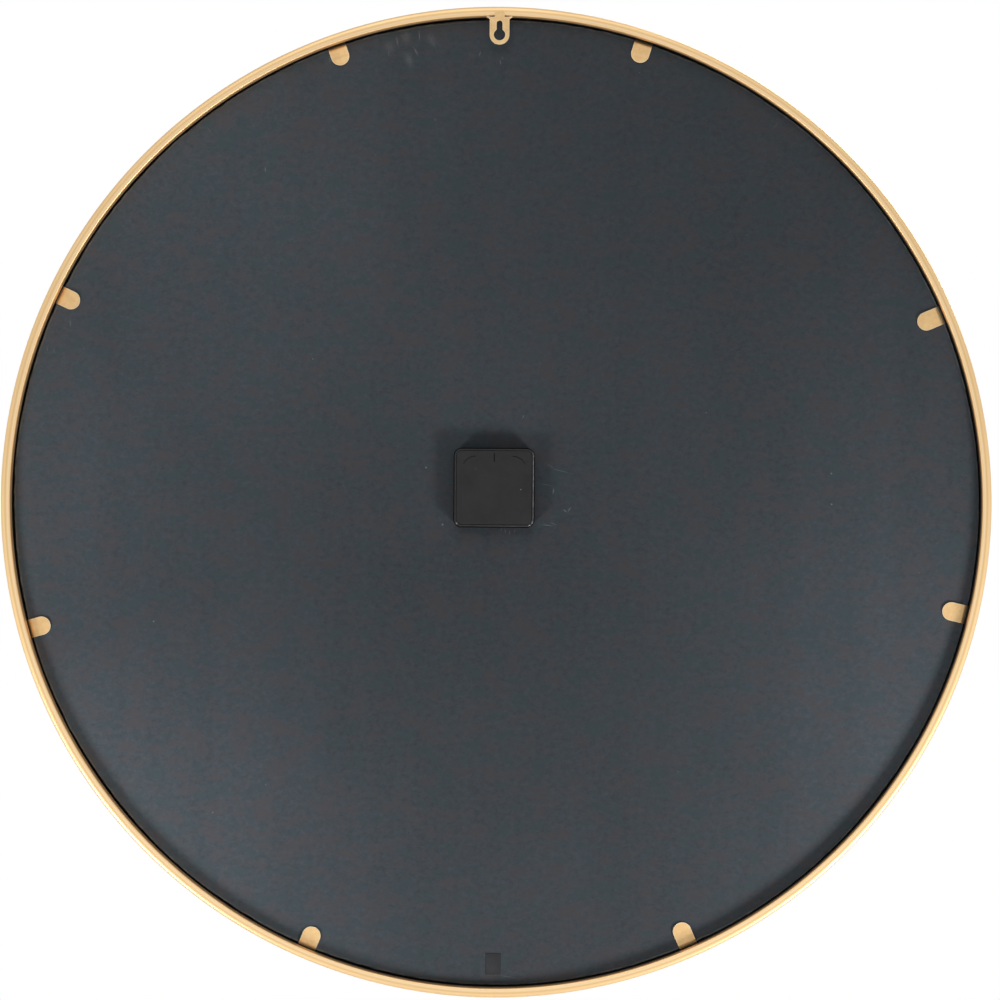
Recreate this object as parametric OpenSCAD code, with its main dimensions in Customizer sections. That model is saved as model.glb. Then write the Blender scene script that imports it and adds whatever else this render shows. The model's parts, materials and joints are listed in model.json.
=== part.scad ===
// Round wall clock with a mirror dial, a thin metal ring and a quartz movement behind the glass.
// The clock is drawn face up about its dial axis: X right and Y up as seen from the front, Z towards the front.
// The last module stands it up and hangs it, so that the keyhole's centre on the wall plane is the origin.

/* [Ring] */
// Outer diameter of the ring
frame_d = 700; // [450:1:1000]
// Radial width of the ring's tube
tube_w = 7; // [5:0.1:14]
// Sheet thickness of the ring's tube
tube_wall = 1; // [0.6:0.1:1.5]
// Radial width of the front lip
lip_w = 7; // [4:0.5:20]
// Thickness of the front lip
lip_t = 1.5; // [0.8:0.1:3]
// Distance of the lip's front face behind the ring's front edge
lip_setback = 5.5; // [4:0.5:20]

/* [Mirror and board] */
// Thickness of the mirror glass
glass_t = 4; // [3:0.5:6]
// Thickness of the silver and paint layer
coat_t = 0.2; // [0.1:0.05:0.4]
// Diameter of the hole in the glass
glass_hole_d = 9; // [8.4:0.1:12]
// Width of the ground arris of the glass
glass_arris = 0.5; // [0.2:0.1:1]
// Radial gap between the ring's inner wall and the pane
edge_gap = 1; // [0.6:0.1:2]
// Thickness of the backing board
board_t = 9; // [5:0.5:13]
// Rounding of the board's rear edge
board_arris = 2; // [0.5:0.1:3]
// Gap all round between the movement and the board's hole for it
board_hole_fit = 0.5; // [0.3:0.1:3]
// Width of the tape patch on the board
patch_w = 11; // [4:0.5:30]
// Height of the tape patch on the board
patch_h = 15.5; // [4:0.5:30]
// Thickness of the tape patch
patch_t = 0.2; // [0.1:0.05:0.5]
// Distance of the tape patch's middle from the pane's edge
patch_inset = 15; // [10:0.5:60]

/* [Tabs] */
// Width of each tab
tab_w = 13; // [6:0.1:20]
// Thickness of each tab
tab_t = 0.8; // [0.4:0.1:1]
// Length of the tab's leg along the ring's wall, before the fold
tab_leg = 5; // [2:0.5:8]
// Directions of the tabs, clockwise from the top as seen from the front
tab_angles = [-17.4, -66.8, -103.1, -156.2, 157.3, 105.6, 65, 19.7]; // [-180:0.1:180]
// Reach of each tab from the ring's inner wall, in the same order
tab_reaches = [15.9, 19, 18, 18.2, 15.8, 15.8, 16.1, 14.9]; // [12:0.1:30]

/* [Hanger] */
// Width of the keyhole plate
hanger_w = 14; // [12:0.5:24]
// Thickness of the keyhole plate
hanger_t = 1.2; // [0.8:0.1:2.5]
// Distance of the keyhole's centre below the ring's inner wall
hanger_drop = 13; // [10:0.5:40]
// Diameter of the keyhole's round part
keyhole_d = 8; // [6:0.1:10]
// Width of the keyhole's slot
keyhole_slot_w = 4; // [3:0.1:5]
// Distance from the keyhole's centre up to the slot's end centre
keyhole_rise = 8; // [6:0.1:9]
// Width of the neck that is welded to the ring
hanger_neck_w = 7; // [4:0.5:12]
// Gap between the plate's shoulder and the ring's inner wall
hanger_shoulder_gap = 0.4; // [0.2:0.1:1]
// Size of each weld fillet along the ring
weld_size = 2.4; // [1:0.1:4]
// Distance that the plate stands behind the ring's rear
hanger_proud = 0.3; // [0.2:0.05:1]

/* [Dial] */
// Length of the hour markers
marker_len = 40; // [15:1:70]
// Length of the markers at three, six, nine and twelve
quarter_len = 54; // [15:1:80]
// Width of the hour markers
marker_w = 7; // [3:0.5:15]
// Thickness of the hour markers
marker_t = 1.2; // [0.5:0.1:2.5]
// Distance of the markers' outer ends from the lip
marker_inset = 14; // [4:1:60]
// Direction of the hour hand, clockwise from the top
hour_angle = 305; // [0:1:359]
// Direction of the minute hand, clockwise from the top
minute_angle = 60; // [0:1:359]
// Length of the hour hand from the dial axis
hour_hand_len = 172; // [60:1:200]
// Length of the hour hand's tail
hour_hand_tail = 42; // [15:1:80]
// Width of the hour hand at the hub
hour_hand_w = 11; // [8:0.5:20]
// Length of the minute hand from the dial axis
minute_hand_len = 258; // [80:1:290]
// Length of the minute hand's tail
minute_hand_tail = 62; // [15:1:100]
// Width of the minute hand at the hub
minute_hand_w = 9; // [7:0.5:20]
// Width of both hands at the tip
hand_tip_w = 3; // [1:0.5:6]
// Thickness of both hands
hand_t = 1; // [0.5:0.1:2]
// Height of the brass eyelets in the hands
eyelet_h = 1.5; // [1:0.1:3]
// Free space between the hour hand's eyelet and the minute hand
hand_gap = 0.8; // [0.4:0.1:3]
// Height of the cap nut
cap_h = 3; // [2:0.1:6]
// Radius of the cap nut
cap_r = 4; // [3:0.1:6]

/* [Movement case] */
// Width of the movement
case_w = 56; // [56:0.5:60]
// Height of the movement
case_h = 55; // [55:0.5:60]
// Depth of the movement
case_depth = 17.4; // [17.4:0.1:20]
// Corner radius of the movement
case_corner = 5; // [3:0.5:8]
// Side wall of the movement
case_wall = 1.6; // [1.4:0.1:1.8]
// Front and rear wall of the movement
case_end_wall = 1.3; // [1:0.1:1.4]
// Height of the movement's middle above the dial axis
case_rise = 10.2; // [9:0.1:12]
// Sideways offset of the movement's middle from the dial axis
case_shift = 1.6; // [0:0.1:2]
// Distance of the movement's rear from the wall plane
case_clear = 0.6; // [0.4:0.1:5]
// Depth of the rear cover's skirt, with its end wall
cover_depth = 7; // [5:0.5:9]
// Thickness of the case's tongue inside the cover
lap_t = 0.7; // [0.5:0.05:0.8]
// Clearance between the tongue and the cover
lap_fit = 0.1; // [0.05:0.01:0.2]
// Depth of the tongue inside the cover
lap_depth = 4; // [2:0.5:5]
// Inset of the parting groove from the cover's sides
parting_inset = 1.2; // [1:0.1:2]
// Width of the parting groove
parting_w = 0.4; // [0.3:0.05:0.8]
// Inset of the cover's two corner arcs from the cover's sides
groove_inset = 5; // [3:0.5:9]
// Radius of the corner arcs
groove_corner = 10; // [4:0.5:14]
// Width of the corner arcs
groove_w = 0.5; // [0.3:0.1:1]
// Depth of the parting groove, of the corner arcs and of the slit
groove_deep = 0.5; // [0.2:0.1:0.8]
// Width of the slit at the top of the cover
slit_w = 0.9; // [0.5:0.1:2]
// Length of the slit
slit_len = 5.8; // [3:0.1:10]
// Distance of the slit from the cover's top
slit_inset = 3.3; // [2:0.1:6]

/* [Shaft] */
// Thickness of the rubber gasket
gasket_t = 1; // [0.5:0.1:2]
// Radius of the rubber gasket
gasket_r = 12; // [8:0.5:16]
// Diameter of the threaded bush
bush_d = 7.9; // [7:0.1:8]
// Pitch of the bush's thread ridges
bush_pitch = 0.75; // [0.5:0.05:1]
// Across flats of the dial nut
nut_flats = 11; // [10:0.5:14]
// Thickness of the dial nut
nut_t = 2.2; // [1.5:0.1:4]
// Radius of the dial washer
washer_r = 9; // [7:0.5:14]
// Thickness of the dial washer
washer_t = 0.5; // [0.3:0.1:1.2]
// Diameter of the hour tube
hour_tube_d = 5; // [4.6:0.1:5.2]
// Diameter of the minute tube
minute_tube_d = 3.3; // [3:0.1:3.4]
// Diameter of the seconds arbor
seconds_arbor_d = 0.9; // [0.7:0.05:1]
// Running clearance on each radius of shafts, tubes and pivots
pivot_fit = 0.05; // [0.02:0.01:0.08]

/* [Gear train] */
// Distance of the motion wheel from the dial axis
motion_dist = 10; // [9.6:0.1:10.4]
// Distance of the third wheel from the dial axis
third_dist = 10.8; // [10.6:0.1:11.4]
// Distance of the step wheel from the dial axis
step_dist = 11.2; // [11:0.1:11.5]
// Distance of the rotor from the step wheel
rotor_dist = 7.5; // [7.2:0.1:7.6]
// Thickness of the wheels
wheel_t = 0.8; // [0.6:0.05:0.9]
// Sideways play of each gear's teeth
gear_play = 0.05; // [0.03:0.01:0.08]

/* [Hidden] */
$fn = 96;

// A small overlap that makes cuts clean
over = 1;

// Radii of the ring and of what it holds
frame_r = frame_d / 2;
tube_mid_r = frame_r - tube_w / 2;
wall_r = frame_r - tube_w;
pane_r = wall_r - edge_gap;
lip_inner_r = wall_r - lip_w;

// Levels from the wall plane forward
case_rear_z = case_clear;
case_front_z = case_rear_z + case_depth;
glass_back_z = case_front_z + gasket_t + coat_t;
glass_front_z = glass_back_z + glass_t;
lip_front_z = glass_front_z + lip_t;
frame_depth = lip_front_z + lip_setback;
board_front_z = glass_back_z - coat_t;
board_rear_z = board_front_z - board_t;

// Flat back of a tab's leg, whose two edges meet the ring's round wall
tab_fit = 0.02;
tab_seat_r = sqrt(pow(wall_r, 2) - pow(tab_w / 2, 2)) - tab_fit;

// Tab fold, just outside the board's rounded edge
fold_in_r = tab_seat_r - tab_t - pane_r + board_arris;
fold_out_r = fold_in_r + tab_t;

// Height of the keyhole above the dial axis
hang_rise = wall_r - hanger_drop;

// Levels of the dial stack
nut_front_z = glass_front_z + washer_t + nut_t;
bush_front_z = nut_front_z + 0.5;
hour_hand_z = bush_front_z + 0.5;
hour_tube_front_z = hour_hand_z + eyelet_h;
minute_hand_z = hour_tube_front_z + hand_gap;
cap_rear_z = minute_hand_z + eyelet_h;
minute_tube_front_z = cap_rear_z + cap_h * 0.6;
bush_r = bush_d / 2;
bush_flange_r = bush_r + 2.5;
bush_flange_t = 0.8;
hour_tube_r = hour_tube_d / 2;
minute_tube_r = minute_tube_d / 2;
seconds_arbor_r = seconds_arbor_d / 2;
thread_deep = bush_pitch * 0.5;

// Inside of the movement
inner_front_z = case_front_z - case_end_wall;
inner_rear_z = case_rear_z + case_end_wall;
cover_front_z = case_rear_z + cover_depth;
inner_w = case_w - 2 * case_wall;
inner_h = case_h - 2 * case_wall;
inner_corner = case_corner - case_wall;
inner_left = case_shift - inner_w / 2;
inner_right = case_shift + inner_w / 2;
inner_bottom = case_rise - inner_h / 2;
inner_top = case_rise + inner_h / 2;

// Levels of the gear train, counted back from the case's front wall
hour_wheel_z = inner_front_z - 1.6;
hour_wheel_t = 1.1;
motion_wheel_z = inner_front_z - 3.1;
cannon_z = motion_wheel_z - 0.3;
cannon_t = wheel_t + 0.5;
centre_wheel_z = inner_front_z - 4.6;
third_wheel_z = inner_front_z - 6.1;
seconds_wheel_z = inner_front_z - 7.5;
step_wheel_z = inner_front_z - 8.8;
stator_z = inner_front_z - 10.8;
stator_t = 1;
magnet_z = stator_z - 0.6;
magnet_t = 2.2;
bridge_t = 1;
bridge_z = magnet_z - 0.3 - bridge_t;
arbor_rear_z = bridge_z + 0.2;

// Gear proportions
pressure_angle = 25;
addendum = 0.8;
dedendum = 1;
cannon_teeth = 12;
motion_teeth = 36;
motion_pinion_teeth = 10;
hour_teeth = 40;
knob_teeth = 18;
seconds_teeth = 60;
step_pinion_teeth = 10;
step_teeth = 50;
rotor_teeth = 10;
seconds_pinion_teeth = 10;
third_teeth = 75;
third_pinion_teeth = 10;
centre_teeth = 80;

// Size of the train and coil against those for a case of the drawn width and height
drawn_case_w = 56;
drawn_case_h = 55;
train_scale = min(case_w / drawn_case_w, case_h / drawn_case_h);
motion_centres = motion_dist * train_scale;
third_centres = third_dist * train_scale;
step_centres = step_dist * train_scale;
rotor_centres = rotor_dist * train_scale;
cannon_mod = 2 * motion_centres / (cannon_teeth + motion_teeth);
hour_mod = 2 * motion_centres / (motion_pinion_teeth + hour_teeth);
step_mod = 2 * step_centres / (step_pinion_teeth + seconds_teeth);
rotor_mod = 2 * rotor_centres / (rotor_teeth + step_teeth);
third_mod = 2 * third_centres / (seconds_pinion_teeth + third_teeth);
centre_mod = 2 * third_centres / (third_pinion_teeth + centre_teeth);
knob_dist = cannon_mod * (motion_teeth + knob_teeth) / 2;

// Directions of the axes, counter-clockwise from the right
motion_dir = 200;
knob_dir = 160;
third_dir = 50;
step_dir = -20;
rotor_dir = -60;
motion_at = motion_centres * [cos(motion_dir), sin(motion_dir)];
knob_at = motion_at + knob_dist * [cos(knob_dir), sin(knob_dir)];
third_at = third_centres * [cos(third_dir), sin(third_dir)];
step_at = step_centres * [cos(step_dir), sin(step_dir)];
rotor_at = step_at + rotor_centres * [cos(rotor_dir), sin(rotor_dir)];

// Turn of each toothed wheel that puts it in mesh with its driver
motion_phase = mesh_phase(0, cannon_teeth, motion_teeth, motion_dir);
hour_phase = mesh_phase(0, motion_pinion_teeth, hour_teeth, motion_dir + 180);
knob_phase = mesh_phase(motion_phase, motion_teeth, knob_teeth, knob_dir);
step_pinion_phase = mesh_phase(0, seconds_teeth, step_pinion_teeth, step_dir);
rotor_phase = mesh_phase(0, step_teeth, rotor_teeth, rotor_dir);
third_phase = mesh_phase(0, seconds_pinion_teeth, third_teeth, third_dir);
centre_phase = mesh_phase(0, third_pinion_teeth, centre_teeth, third_dir + 180);

// Small turned parts of the train
motion_stud_r = 0.8;
third_arbor_r = 0.45;
step_arbor_r = 0.5;
rotor_arbor_r = 0.4;
knob_pivot_r = 0.8;
knob_shaft_r = 1.2;
knob_head_r = 4.2 * train_scale;
knob_head_t = 1.5;
magnet_r = 3 * train_scale;
magnet_bore_r = 0.9 * train_scale;
stator_gap = 0.5;
stator_ring_w = 1.5 * train_scale;
post_r = 1.3;
screw_r = 0.6;
screw_head_r = 1.2;
screw_head_t = 1;
post_places = train_scale * [[-8.5, 13], [21.5, 17.5], [-21.5, -12.5], [4.5, -13.5]];

// Coil on the right of the train
coil_x = inner_right - 4 * train_scale;
coil_half = 9 * train_scale;
flange_t = 1.2;
core_w = 3 * train_scale;
core_t = 1.2;
core_half = coil_half + flange_t + 4.2 * train_scale;
coil_z = stator_z + stator_t + core_t / 2;
bobbin_w = 7.4 * train_scale;
bobbin_h = 4.8;
winding_w = 6.8 * train_scale;
winding_h = 4.4;
spool_w = 4.2 * train_scale;
spool_h = 2.4;
arm_half = 1.9 * train_scale;
arm_y = coil_half + flange_t + 0.8 + arm_half;

// Battery bay at the top
contact_t = 0.4;
contact_w = 8;
spring_len = 1.5;
battery_play = 0.15;
battery_gap = 0.6;
battery_r = (inner_front_z - inner_rear_z) / 2 - battery_play;
battery_len = inner_w - 2 * contact_t - spring_len;
nub_len = 1.3;
nub_r = 2.6;
battery_y = inner_top - battery_gap - battery_r;
battery_z = (inner_front_z + inner_rear_z) / 2;
divider_t = 0.8;
divider_y = battery_y - battery_r - battery_gap / 2 - divider_t;

// Circuit board below the battery bay
circuit_z = inner_front_z - 8.7;
circuit_t = 1;
circuit_top = divider_y - 0.4;
circuit_strip_h = 4.6;
circuit_left = inner_left + 0.5;
circuit_right = inner_right - 0.6;
circuit_main_w = 12.4 * train_scale;
circuit_main_h = circuit_top - knob_at[1] - knob_shaft_r - 1;
chip_w = 4;
chip_inset = 3;
crystal_r = 1;
crystal_len = 6;

function involute(angle) = tan(angle) * 180 / PI - angle;

// Turn of a gear that puts a gap of it on a tooth of its driver, which lies in the opposite direction
function mesh_phase(driver_phase, driver_teeth, teeth, dir) =
    dir + 180 + 180 / teeth - (driver_phase - dir) * driver_teeth / teeth;

function polar(radius, angle) = [radius * cos(angle), radius * sin(angle)];

// Half the angle that a tooth covers at a radius
function tooth_half(radius, teeth, mod) =
    let (pitch_r = teeth * mod / 2, base_r = pitch_r * cos(pressure_angle))
    90 / teeth + involute(pressure_angle) - gear_play * 90 / (PI * pitch_r)
        - involute(acos(min(1, base_r / max(radius, base_r))));

module gear_outline(teeth, mod, phase) {
    pitch_r = teeth * mod / 2;
    root_r = pitch_r - dedendum * mod;
    tip_r = pitch_r + addendum * mod;
    start_r = max(root_r, pitch_r * cos(pressure_angle));
    flank = start_r > root_r ? [root_r, start_r, (start_r + tip_r) / 2, tip_r]
        : [start_r, (start_r + tip_r) / 2, tip_r];
    last = len(flank) - 1;
    polygon([for (tooth = [0 : teeth - 1]) let (middle = phase + tooth * 360 / teeth)
        each concat(
            [for (i = [0 : last]) polar(flank[i], middle - tooth_half(flank[i], teeth, mod))],
            [for (i = [0 : last]) polar(flank[last - i], middle + tooth_half(flank[last - i], teeth, mod))])]);
}

module gear(teeth, mod, phase, height) {
    linear_extrude(height) gear_outline(teeth, mod, phase);
}

module rounded_outline(width, height, corner) {
    square([width - 2 * corner, height], center = true);
    square([width, height - 2 * corner], center = true);
    for (x = [-1, 1], y = [-1, 1])
        translate([x * (width / 2 - corner), y * (height / 2 - corner)]) circle(corner);
}

module flat_oval(width, height) {
    square([width, height - width], center = true);
    for (y = [-1, 1]) translate([0, y * (height - width) / 2]) circle(width / 2);
}

module tube_ring(inner_cut) {
    tube_depth = frame_depth - hanger_proud;
    rotate_extrude($fn = 360) translate([tube_mid_r, hanger_proud + tube_depth / 2])
        difference() {
            flat_oval(tube_w, tube_depth);
            if (inner_cut) flat_oval(tube_w - 2 * tube_wall, tube_depth - 2 * tube_wall);
        }
}

module disc(radius, rear_z, front_z) {
    translate([0, 0, rear_z]) cylinder(r = radius, h = front_z - rear_z, $fn = 360);
}

module ring_tube() {
    color("goldenrod") tube_ring(true);
}

module front_lip() {
    color("goldenrod") difference() {
        disc(wall_r, glass_front_z, lip_front_z);
        disc(lip_inner_r, glass_front_z - over, lip_front_z + over);
    }
}

// One tab at the top of the ring: leg along the wall, fold, and foot on the board
module tab(reach) {
    foot_end = wall_r - reach;
    fold_mid_r = tab_seat_r - fold_out_r;
    fold_mid_z = board_rear_z + fold_in_r;
    intersection() {
        rotate([90, 0, 90]) translate([0, 0, -tab_w / 2]) linear_extrude(tab_w) {
            translate([tab_seat_r - tab_t, fold_mid_z]) square([tab_t, tab_leg]);
            translate([foot_end, board_rear_z - tab_t]) square([fold_mid_r - foot_end, tab_t]);
            translate([fold_mid_r, fold_mid_z]) intersection() {
                difference() {
                    circle(fold_out_r);
                    circle(fold_in_r);
                }
                translate([0, -fold_out_r]) square(fold_out_r);
            }
        }
        translate([0, 0, board_rear_z - fold_out_r]) linear_extrude(frame_depth) {
            translate([0, foot_end + tab_w / 2]) circle(tab_w / 2);
            translate([-tab_w / 2, foot_end + tab_w / 2]) square([tab_w, reach]);
        }
    }
}

module retaining_tabs() {
    color("goldenrod") for (i = [0 : len(tab_angles) - 1]) rotate([0, 0, -tab_angles[i]]) tab(tab_reaches[i]);
}

// One piece of the keyhole plate, cut from its sheet
module plate() {
    linear_extrude(hanger_t) children();
}

// Plate with its neck and weld fillets, trimmed to the ring's round back
module keyhole_hanger() {
    shoulder_y = wall_r - hanger_shoulder_gap;
    weld_end_y = tube_mid_r - tube_w / 4;
    color("goldenrod") difference() {
        union() {
            plate() translate([0, hang_rise]) circle(hanger_w / 2);
            plate() translate([-hanger_w / 2, hang_rise]) square([hanger_w, shoulder_y - hang_rise]);
            plate() translate([-hanger_neck_w / 2, shoulder_y - 1]) square([hanger_neck_w, tube_mid_r - shoulder_y + 1]);
            for (side = [-1, 1])
                plate() polygon([
                    [side * (hanger_w / 2 - 1), weld_end_y],
                    [side * (hanger_w / 2 + weld_size), weld_end_y],
                    [side * (hanger_w / 2 + weld_size), shoulder_y],
                    [side * hanger_w / 2, shoulder_y - weld_size],
                    [side * (hanger_w / 2 - 1), shoulder_y - weld_size]]);
        }
        translate([0, 0, -over]) linear_extrude(hanger_t + 2 * over) {
            translate([0, hang_rise]) circle(keyhole_d / 2);
            translate([0, hang_rise + keyhole_rise]) circle(keyhole_slot_w / 2);
            translate([-keyhole_slot_w / 2, hang_rise]) square([keyhole_slot_w, keyhole_rise]);
        }
        tube_ring(false);
    }
}

module mirror_glass() {
    color("lightblue") rotate_extrude($fn = 360) polygon([
        [glass_hole_d / 2, glass_back_z],
        [pane_r - glass_arris, glass_back_z],
        [pane_r, glass_back_z + glass_arris],
        [pane_r, glass_front_z - glass_arris],
        [pane_r - glass_arris, glass_front_z],
        [glass_hole_d / 2, glass_front_z]]);
}

module mirror_coat() {
    color("silver") difference() {
        disc(pane_r - glass_arris, board_front_z, glass_back_z);
        disc(glass_hole_d / 2, board_front_z - over, glass_back_z + over);
    }
}

module backing_board() {
    color("dimgray") difference() {
        rotate_extrude($fn = 360) {
            translate([0, board_rear_z]) square([pane_r - board_arris, board_t]);
            translate([0, board_rear_z + board_arris]) square([pane_r, board_t - board_arris]);
            translate([pane_r - board_arris, board_rear_z + board_arris]) circle(board_arris);
        }
        translate([0, 0, board_rear_z - over]) linear_extrude(board_t + 2 * over) case_outline(-board_hole_fit);
    }
}

module tape_patch() {
    color("black") translate([0, -(pane_r - patch_inset), board_rear_z - patch_t / 2])
        cube([patch_w, patch_h, patch_t], center = true);
}

module hour_markers() {
    outer_r = lip_inner_r - marker_inset;
    color("goldenrod") for (hour = [0 : 11]) {
        length = hour % 3 == 0 ? quarter_len : marker_len;
        rotate([0, 0, -30 * hour]) translate([-marker_w / 2, outer_r - length, glass_front_z])
            cube([marker_w, length, marker_t]);
    }
}

// One piece of a hand, cut from its sheet
module blade() {
    linear_extrude(hand_t) children();
}

// Flat tapered hand with a round hub and a weighted tail, pointing up
module hand(length, tail, width) {
    hub_r = width / 2 + 3;
    difference() {
        union() {
            blade() circle(hub_r);
            blade() translate([0, length - hand_tip_w / 2]) circle(hand_tip_w / 2);
            blade() polygon([
                [-width / 2, 0], [-hand_tip_w / 2, length - hand_tip_w / 2],
                [hand_tip_w / 2, length - hand_tip_w / 2], [width / 2, 0],
                [width / 2, -tail], [-width / 2, -tail]]);
            blade() translate([0, -tail]) circle(width / 2);
        }
        translate([0, 0, -over]) cylinder(r = eyelet_r(width), h = hand_t + 2 * over);
    }
}

function eyelet_r(width) = width / 2 - 0.5;

module hour_hand() {
    color("goldenrod") translate([0, 0, hour_hand_z]) rotate([0, 0, -hour_angle])
        hand(hour_hand_len, hour_hand_tail, hour_hand_w);
}

module eyelet(outer_r, inner_r, rear_z) {
    difference() {
        disc(outer_r, rear_z, rear_z + eyelet_h);
        disc(inner_r, rear_z - over, rear_z + eyelet_h + over);
    }
}

module hour_hand_bush() {
    color("gold") eyelet(eyelet_r(hour_hand_w), hour_tube_r, hour_hand_z);
}

module minute_hand() {
    color("goldenrod") translate([0, 0, minute_hand_z]) rotate([0, 0, -minute_angle])
        hand(minute_hand_len, minute_hand_tail, minute_hand_w);
}

module minute_hand_bush() {
    color("gold") eyelet(eyelet_r(minute_hand_w), minute_tube_r, minute_hand_z);
}

module hand_cap_nut() {
    dome_h = cap_h / 3;
    color("goldenrod") translate([0, 0, cap_rear_z]) difference() {
        rotate_extrude() {
            square([cap_r - dome_h, cap_h]);
            square([cap_r, cap_h - dome_h]);
            translate([cap_r - dome_h, cap_h - dome_h]) circle(dome_h);
        }
        translate([0, 0, -over]) cylinder(r = minute_tube_r, h = minute_tube_front_z - cap_rear_z + over);
    }
}

module dial_nut() {
    color("gold") translate([0, 0, glass_front_z + washer_t]) difference() {
        cylinder(r = nut_flats / 2 / cos(30), h = nut_t, $fn = 6);
        translate([0, 0, -over]) cylinder(r = bush_r + pivot_fit, h = nut_t + 2 * over);
    }
}

module dial_washer() {
    color("gold") difference() {
        disc(washer_r, glass_front_z, glass_front_z + washer_t);
        disc(bush_r + 0.25, glass_front_z - over, glass_front_z + washer_t + over);
    }
}

module rubber_gasket() {
    color("black") difference() {
        disc(gasket_r, case_front_z, case_front_z + gasket_t);
        disc(bush_r + 0.25, case_front_z - over, case_front_z + gasket_t + over);
    }
}

// Bush with a sunk flange and ridges that stand for its thread
module threaded_bush() {
    ridges = floor((bush_front_z - case_front_z - gasket_t) / bush_pitch);
    color("gold") difference() {
        rotate_extrude() {
            translate([0, case_front_z - bush_flange_t]) square([bush_flange_r, bush_flange_t]);
            translate([0, inner_front_z]) square([bush_r, case_front_z + gasket_t - inner_front_z]);
            translate([0, case_front_z + gasket_t]) polygon(concat(
                [[0, 0]],
                [for (i = [0 : ridges - 1]) each [
                    [bush_r - thread_deep, i * bush_pitch],
                    [bush_r, (i + 0.5) * bush_pitch]]],
                [[bush_r - thread_deep, bush_front_z - case_front_z - gasket_t],
                    [0, bush_front_z - case_front_z - gasket_t]]));
        }
        disc(hour_tube_r + pivot_fit, inner_front_z - over, bush_front_z + over);
    }
}

// Post from the case's front wall with a blind bearing hole in its end
module post(place, radius, end_z, hole_r, hole_deep) {
    translate([place[0], place[1], 0]) difference() {
        disc(radius, end_z, inner_front_z + 0.5);
        disc(hole_r, end_z - over, end_z + hole_deep);
    }
}

module case_outline(shrink) {
    translate([case_shift, case_rise])
        rounded_outline(case_w - 2 * shrink, case_h - 2 * shrink, case_corner - shrink);
}

module movement_case() {
    tongue_out = case_wall - lap_t;
    color("black") difference() {
        union() {
            difference() {
                union() {
                    translate([0, 0, cover_front_z]) linear_extrude(case_front_z - cover_front_z) case_outline(0);
                    translate([0, 0, cover_front_z - lap_depth]) linear_extrude(lap_depth + over)
                        case_outline(tongue_out);
                }
                translate([0, 0, cover_front_z - lap_depth - over])
                    linear_extrude(inner_front_z - cover_front_z + lap_depth + over) case_outline(case_wall);
            }
            translate([inner_left - 0.2, divider_y, bridge_z - 1])
                cube([inner_w + 0.4, divider_t, inner_front_z - bridge_z + 1.5]);
            translate([motion_at[0], motion_at[1], 0]) disc(motion_stud_r, motion_wheel_z - 0.3, inner_front_z + 0.5);
            post(third_at, 1.2, third_wheel_z + 2.9, third_arbor_r + pivot_fit, 1.6);
            post(step_at, 0.9, seconds_wheel_z + 1.5, step_arbor_r + pivot_fit, 1.4);
            post(rotor_at, 1.2, step_wheel_z + 1.7, rotor_arbor_r + pivot_fit, 1.4);
            post(knob_at, 2, motion_wheel_z + 1.4, knob_pivot_r + pivot_fit, 1.2);
            for (place = post_places) post(place, post_r, bridge_z + bridge_t, screw_r, 4);
        }
        disc(bush_flange_r + pivot_fit, case_front_z - bush_flange_t, case_front_z + over);
        disc(bush_r + pivot_fit, inner_front_z - over, case_front_z + over);
        contact_slots();
    }
}

// Slots in the divider for the contacts' tails
module contact_slots() {
    for (x = [inner_left - 0.1, inner_right - contact_t - 0.4])
        translate([x, divider_y - 0.5, bridge_z - 2])
            cube([contact_t + 0.5, divider_t + 1, circuit_z + circuit_t - bridge_z + 4]);
}

module back_cover() {
    color("black") difference() {
        translate([0, 0, case_rear_z]) linear_extrude(cover_depth) case_outline(0);
        translate([0, 0, inner_rear_z]) linear_extrude(cover_depth) case_outline(case_wall - lap_t - lap_fit);
        parting_groove();
        for (side = [-1, 1]) corner_arc(side);
        translate([case_shift - slit_w / 2, case_rise + case_h / 2 - slit_inset - slit_len, case_rear_z - over])
            cube([slit_w, slit_len, groove_deep + over]);
    }
}

// Groove along the cover's outline that sets its plate off from its rim
module parting_groove() {
    translate([0, 0, case_rear_z - over]) difference() {
        linear_extrude(groove_deep + over) case_outline(parting_inset);
        translate([0, 0, -over]) linear_extrude(groove_deep + 3 * over) case_outline(parting_inset + parting_w);
    }
}

// Quarter of a round groove in one upper corner of the cover
module corner_arc(side) {
    middle = groove_inset + groove_corner;
    translate([case_shift + side * (case_w / 2 - middle), case_rise + case_h / 2 - middle, case_rear_z - over])
        intersection() {
            difference() {
                cylinder(r = groove_corner, h = groove_deep + over);
                translate([0, 0, -over]) cylinder(r = groove_corner - groove_w, h = groove_deep + 3 * over);
            }
            translate([side * groove_corner / 2, groove_corner / 2, 0])
                cube([groove_corner, groove_corner, 4 * over], center = true);
        }
}

module train_bridge() {
    margin = 0.5;
    color("dimgray") translate([0, 0, bridge_z]) difference() {
        linear_extrude(bridge_t) translate([inner_left + margin, inner_bottom + margin])
            square([inner_w - 2 * margin, divider_y - inner_bottom - 2 * margin]);
        bridge_hole([0, 0], seconds_arbor_r + pivot_fit);
        bridge_hole(third_at, third_arbor_r + pivot_fit);
        bridge_hole(step_at, step_arbor_r + pivot_fit);
        bridge_hole(rotor_at, rotor_arbor_r + pivot_fit);
        bridge_hole(knob_at, knob_shaft_r + pivot_fit);
        for (place = post_places) bridge_hole(place, screw_r + 0.1);
        for (corner = [[inner_left, inner_bottom], [inner_right, inner_bottom]])
            translate([corner[0], corner[1], -over]) rotate([0, 0, 45])
                cube([inner_corner, inner_corner, 4 * over], center = true);
    }
}

module bridge_hole(place, radius) {
    translate([place[0], place[1], -over]) cylinder(r = radius, h = bridge_t + 2 * over);
}

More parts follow.
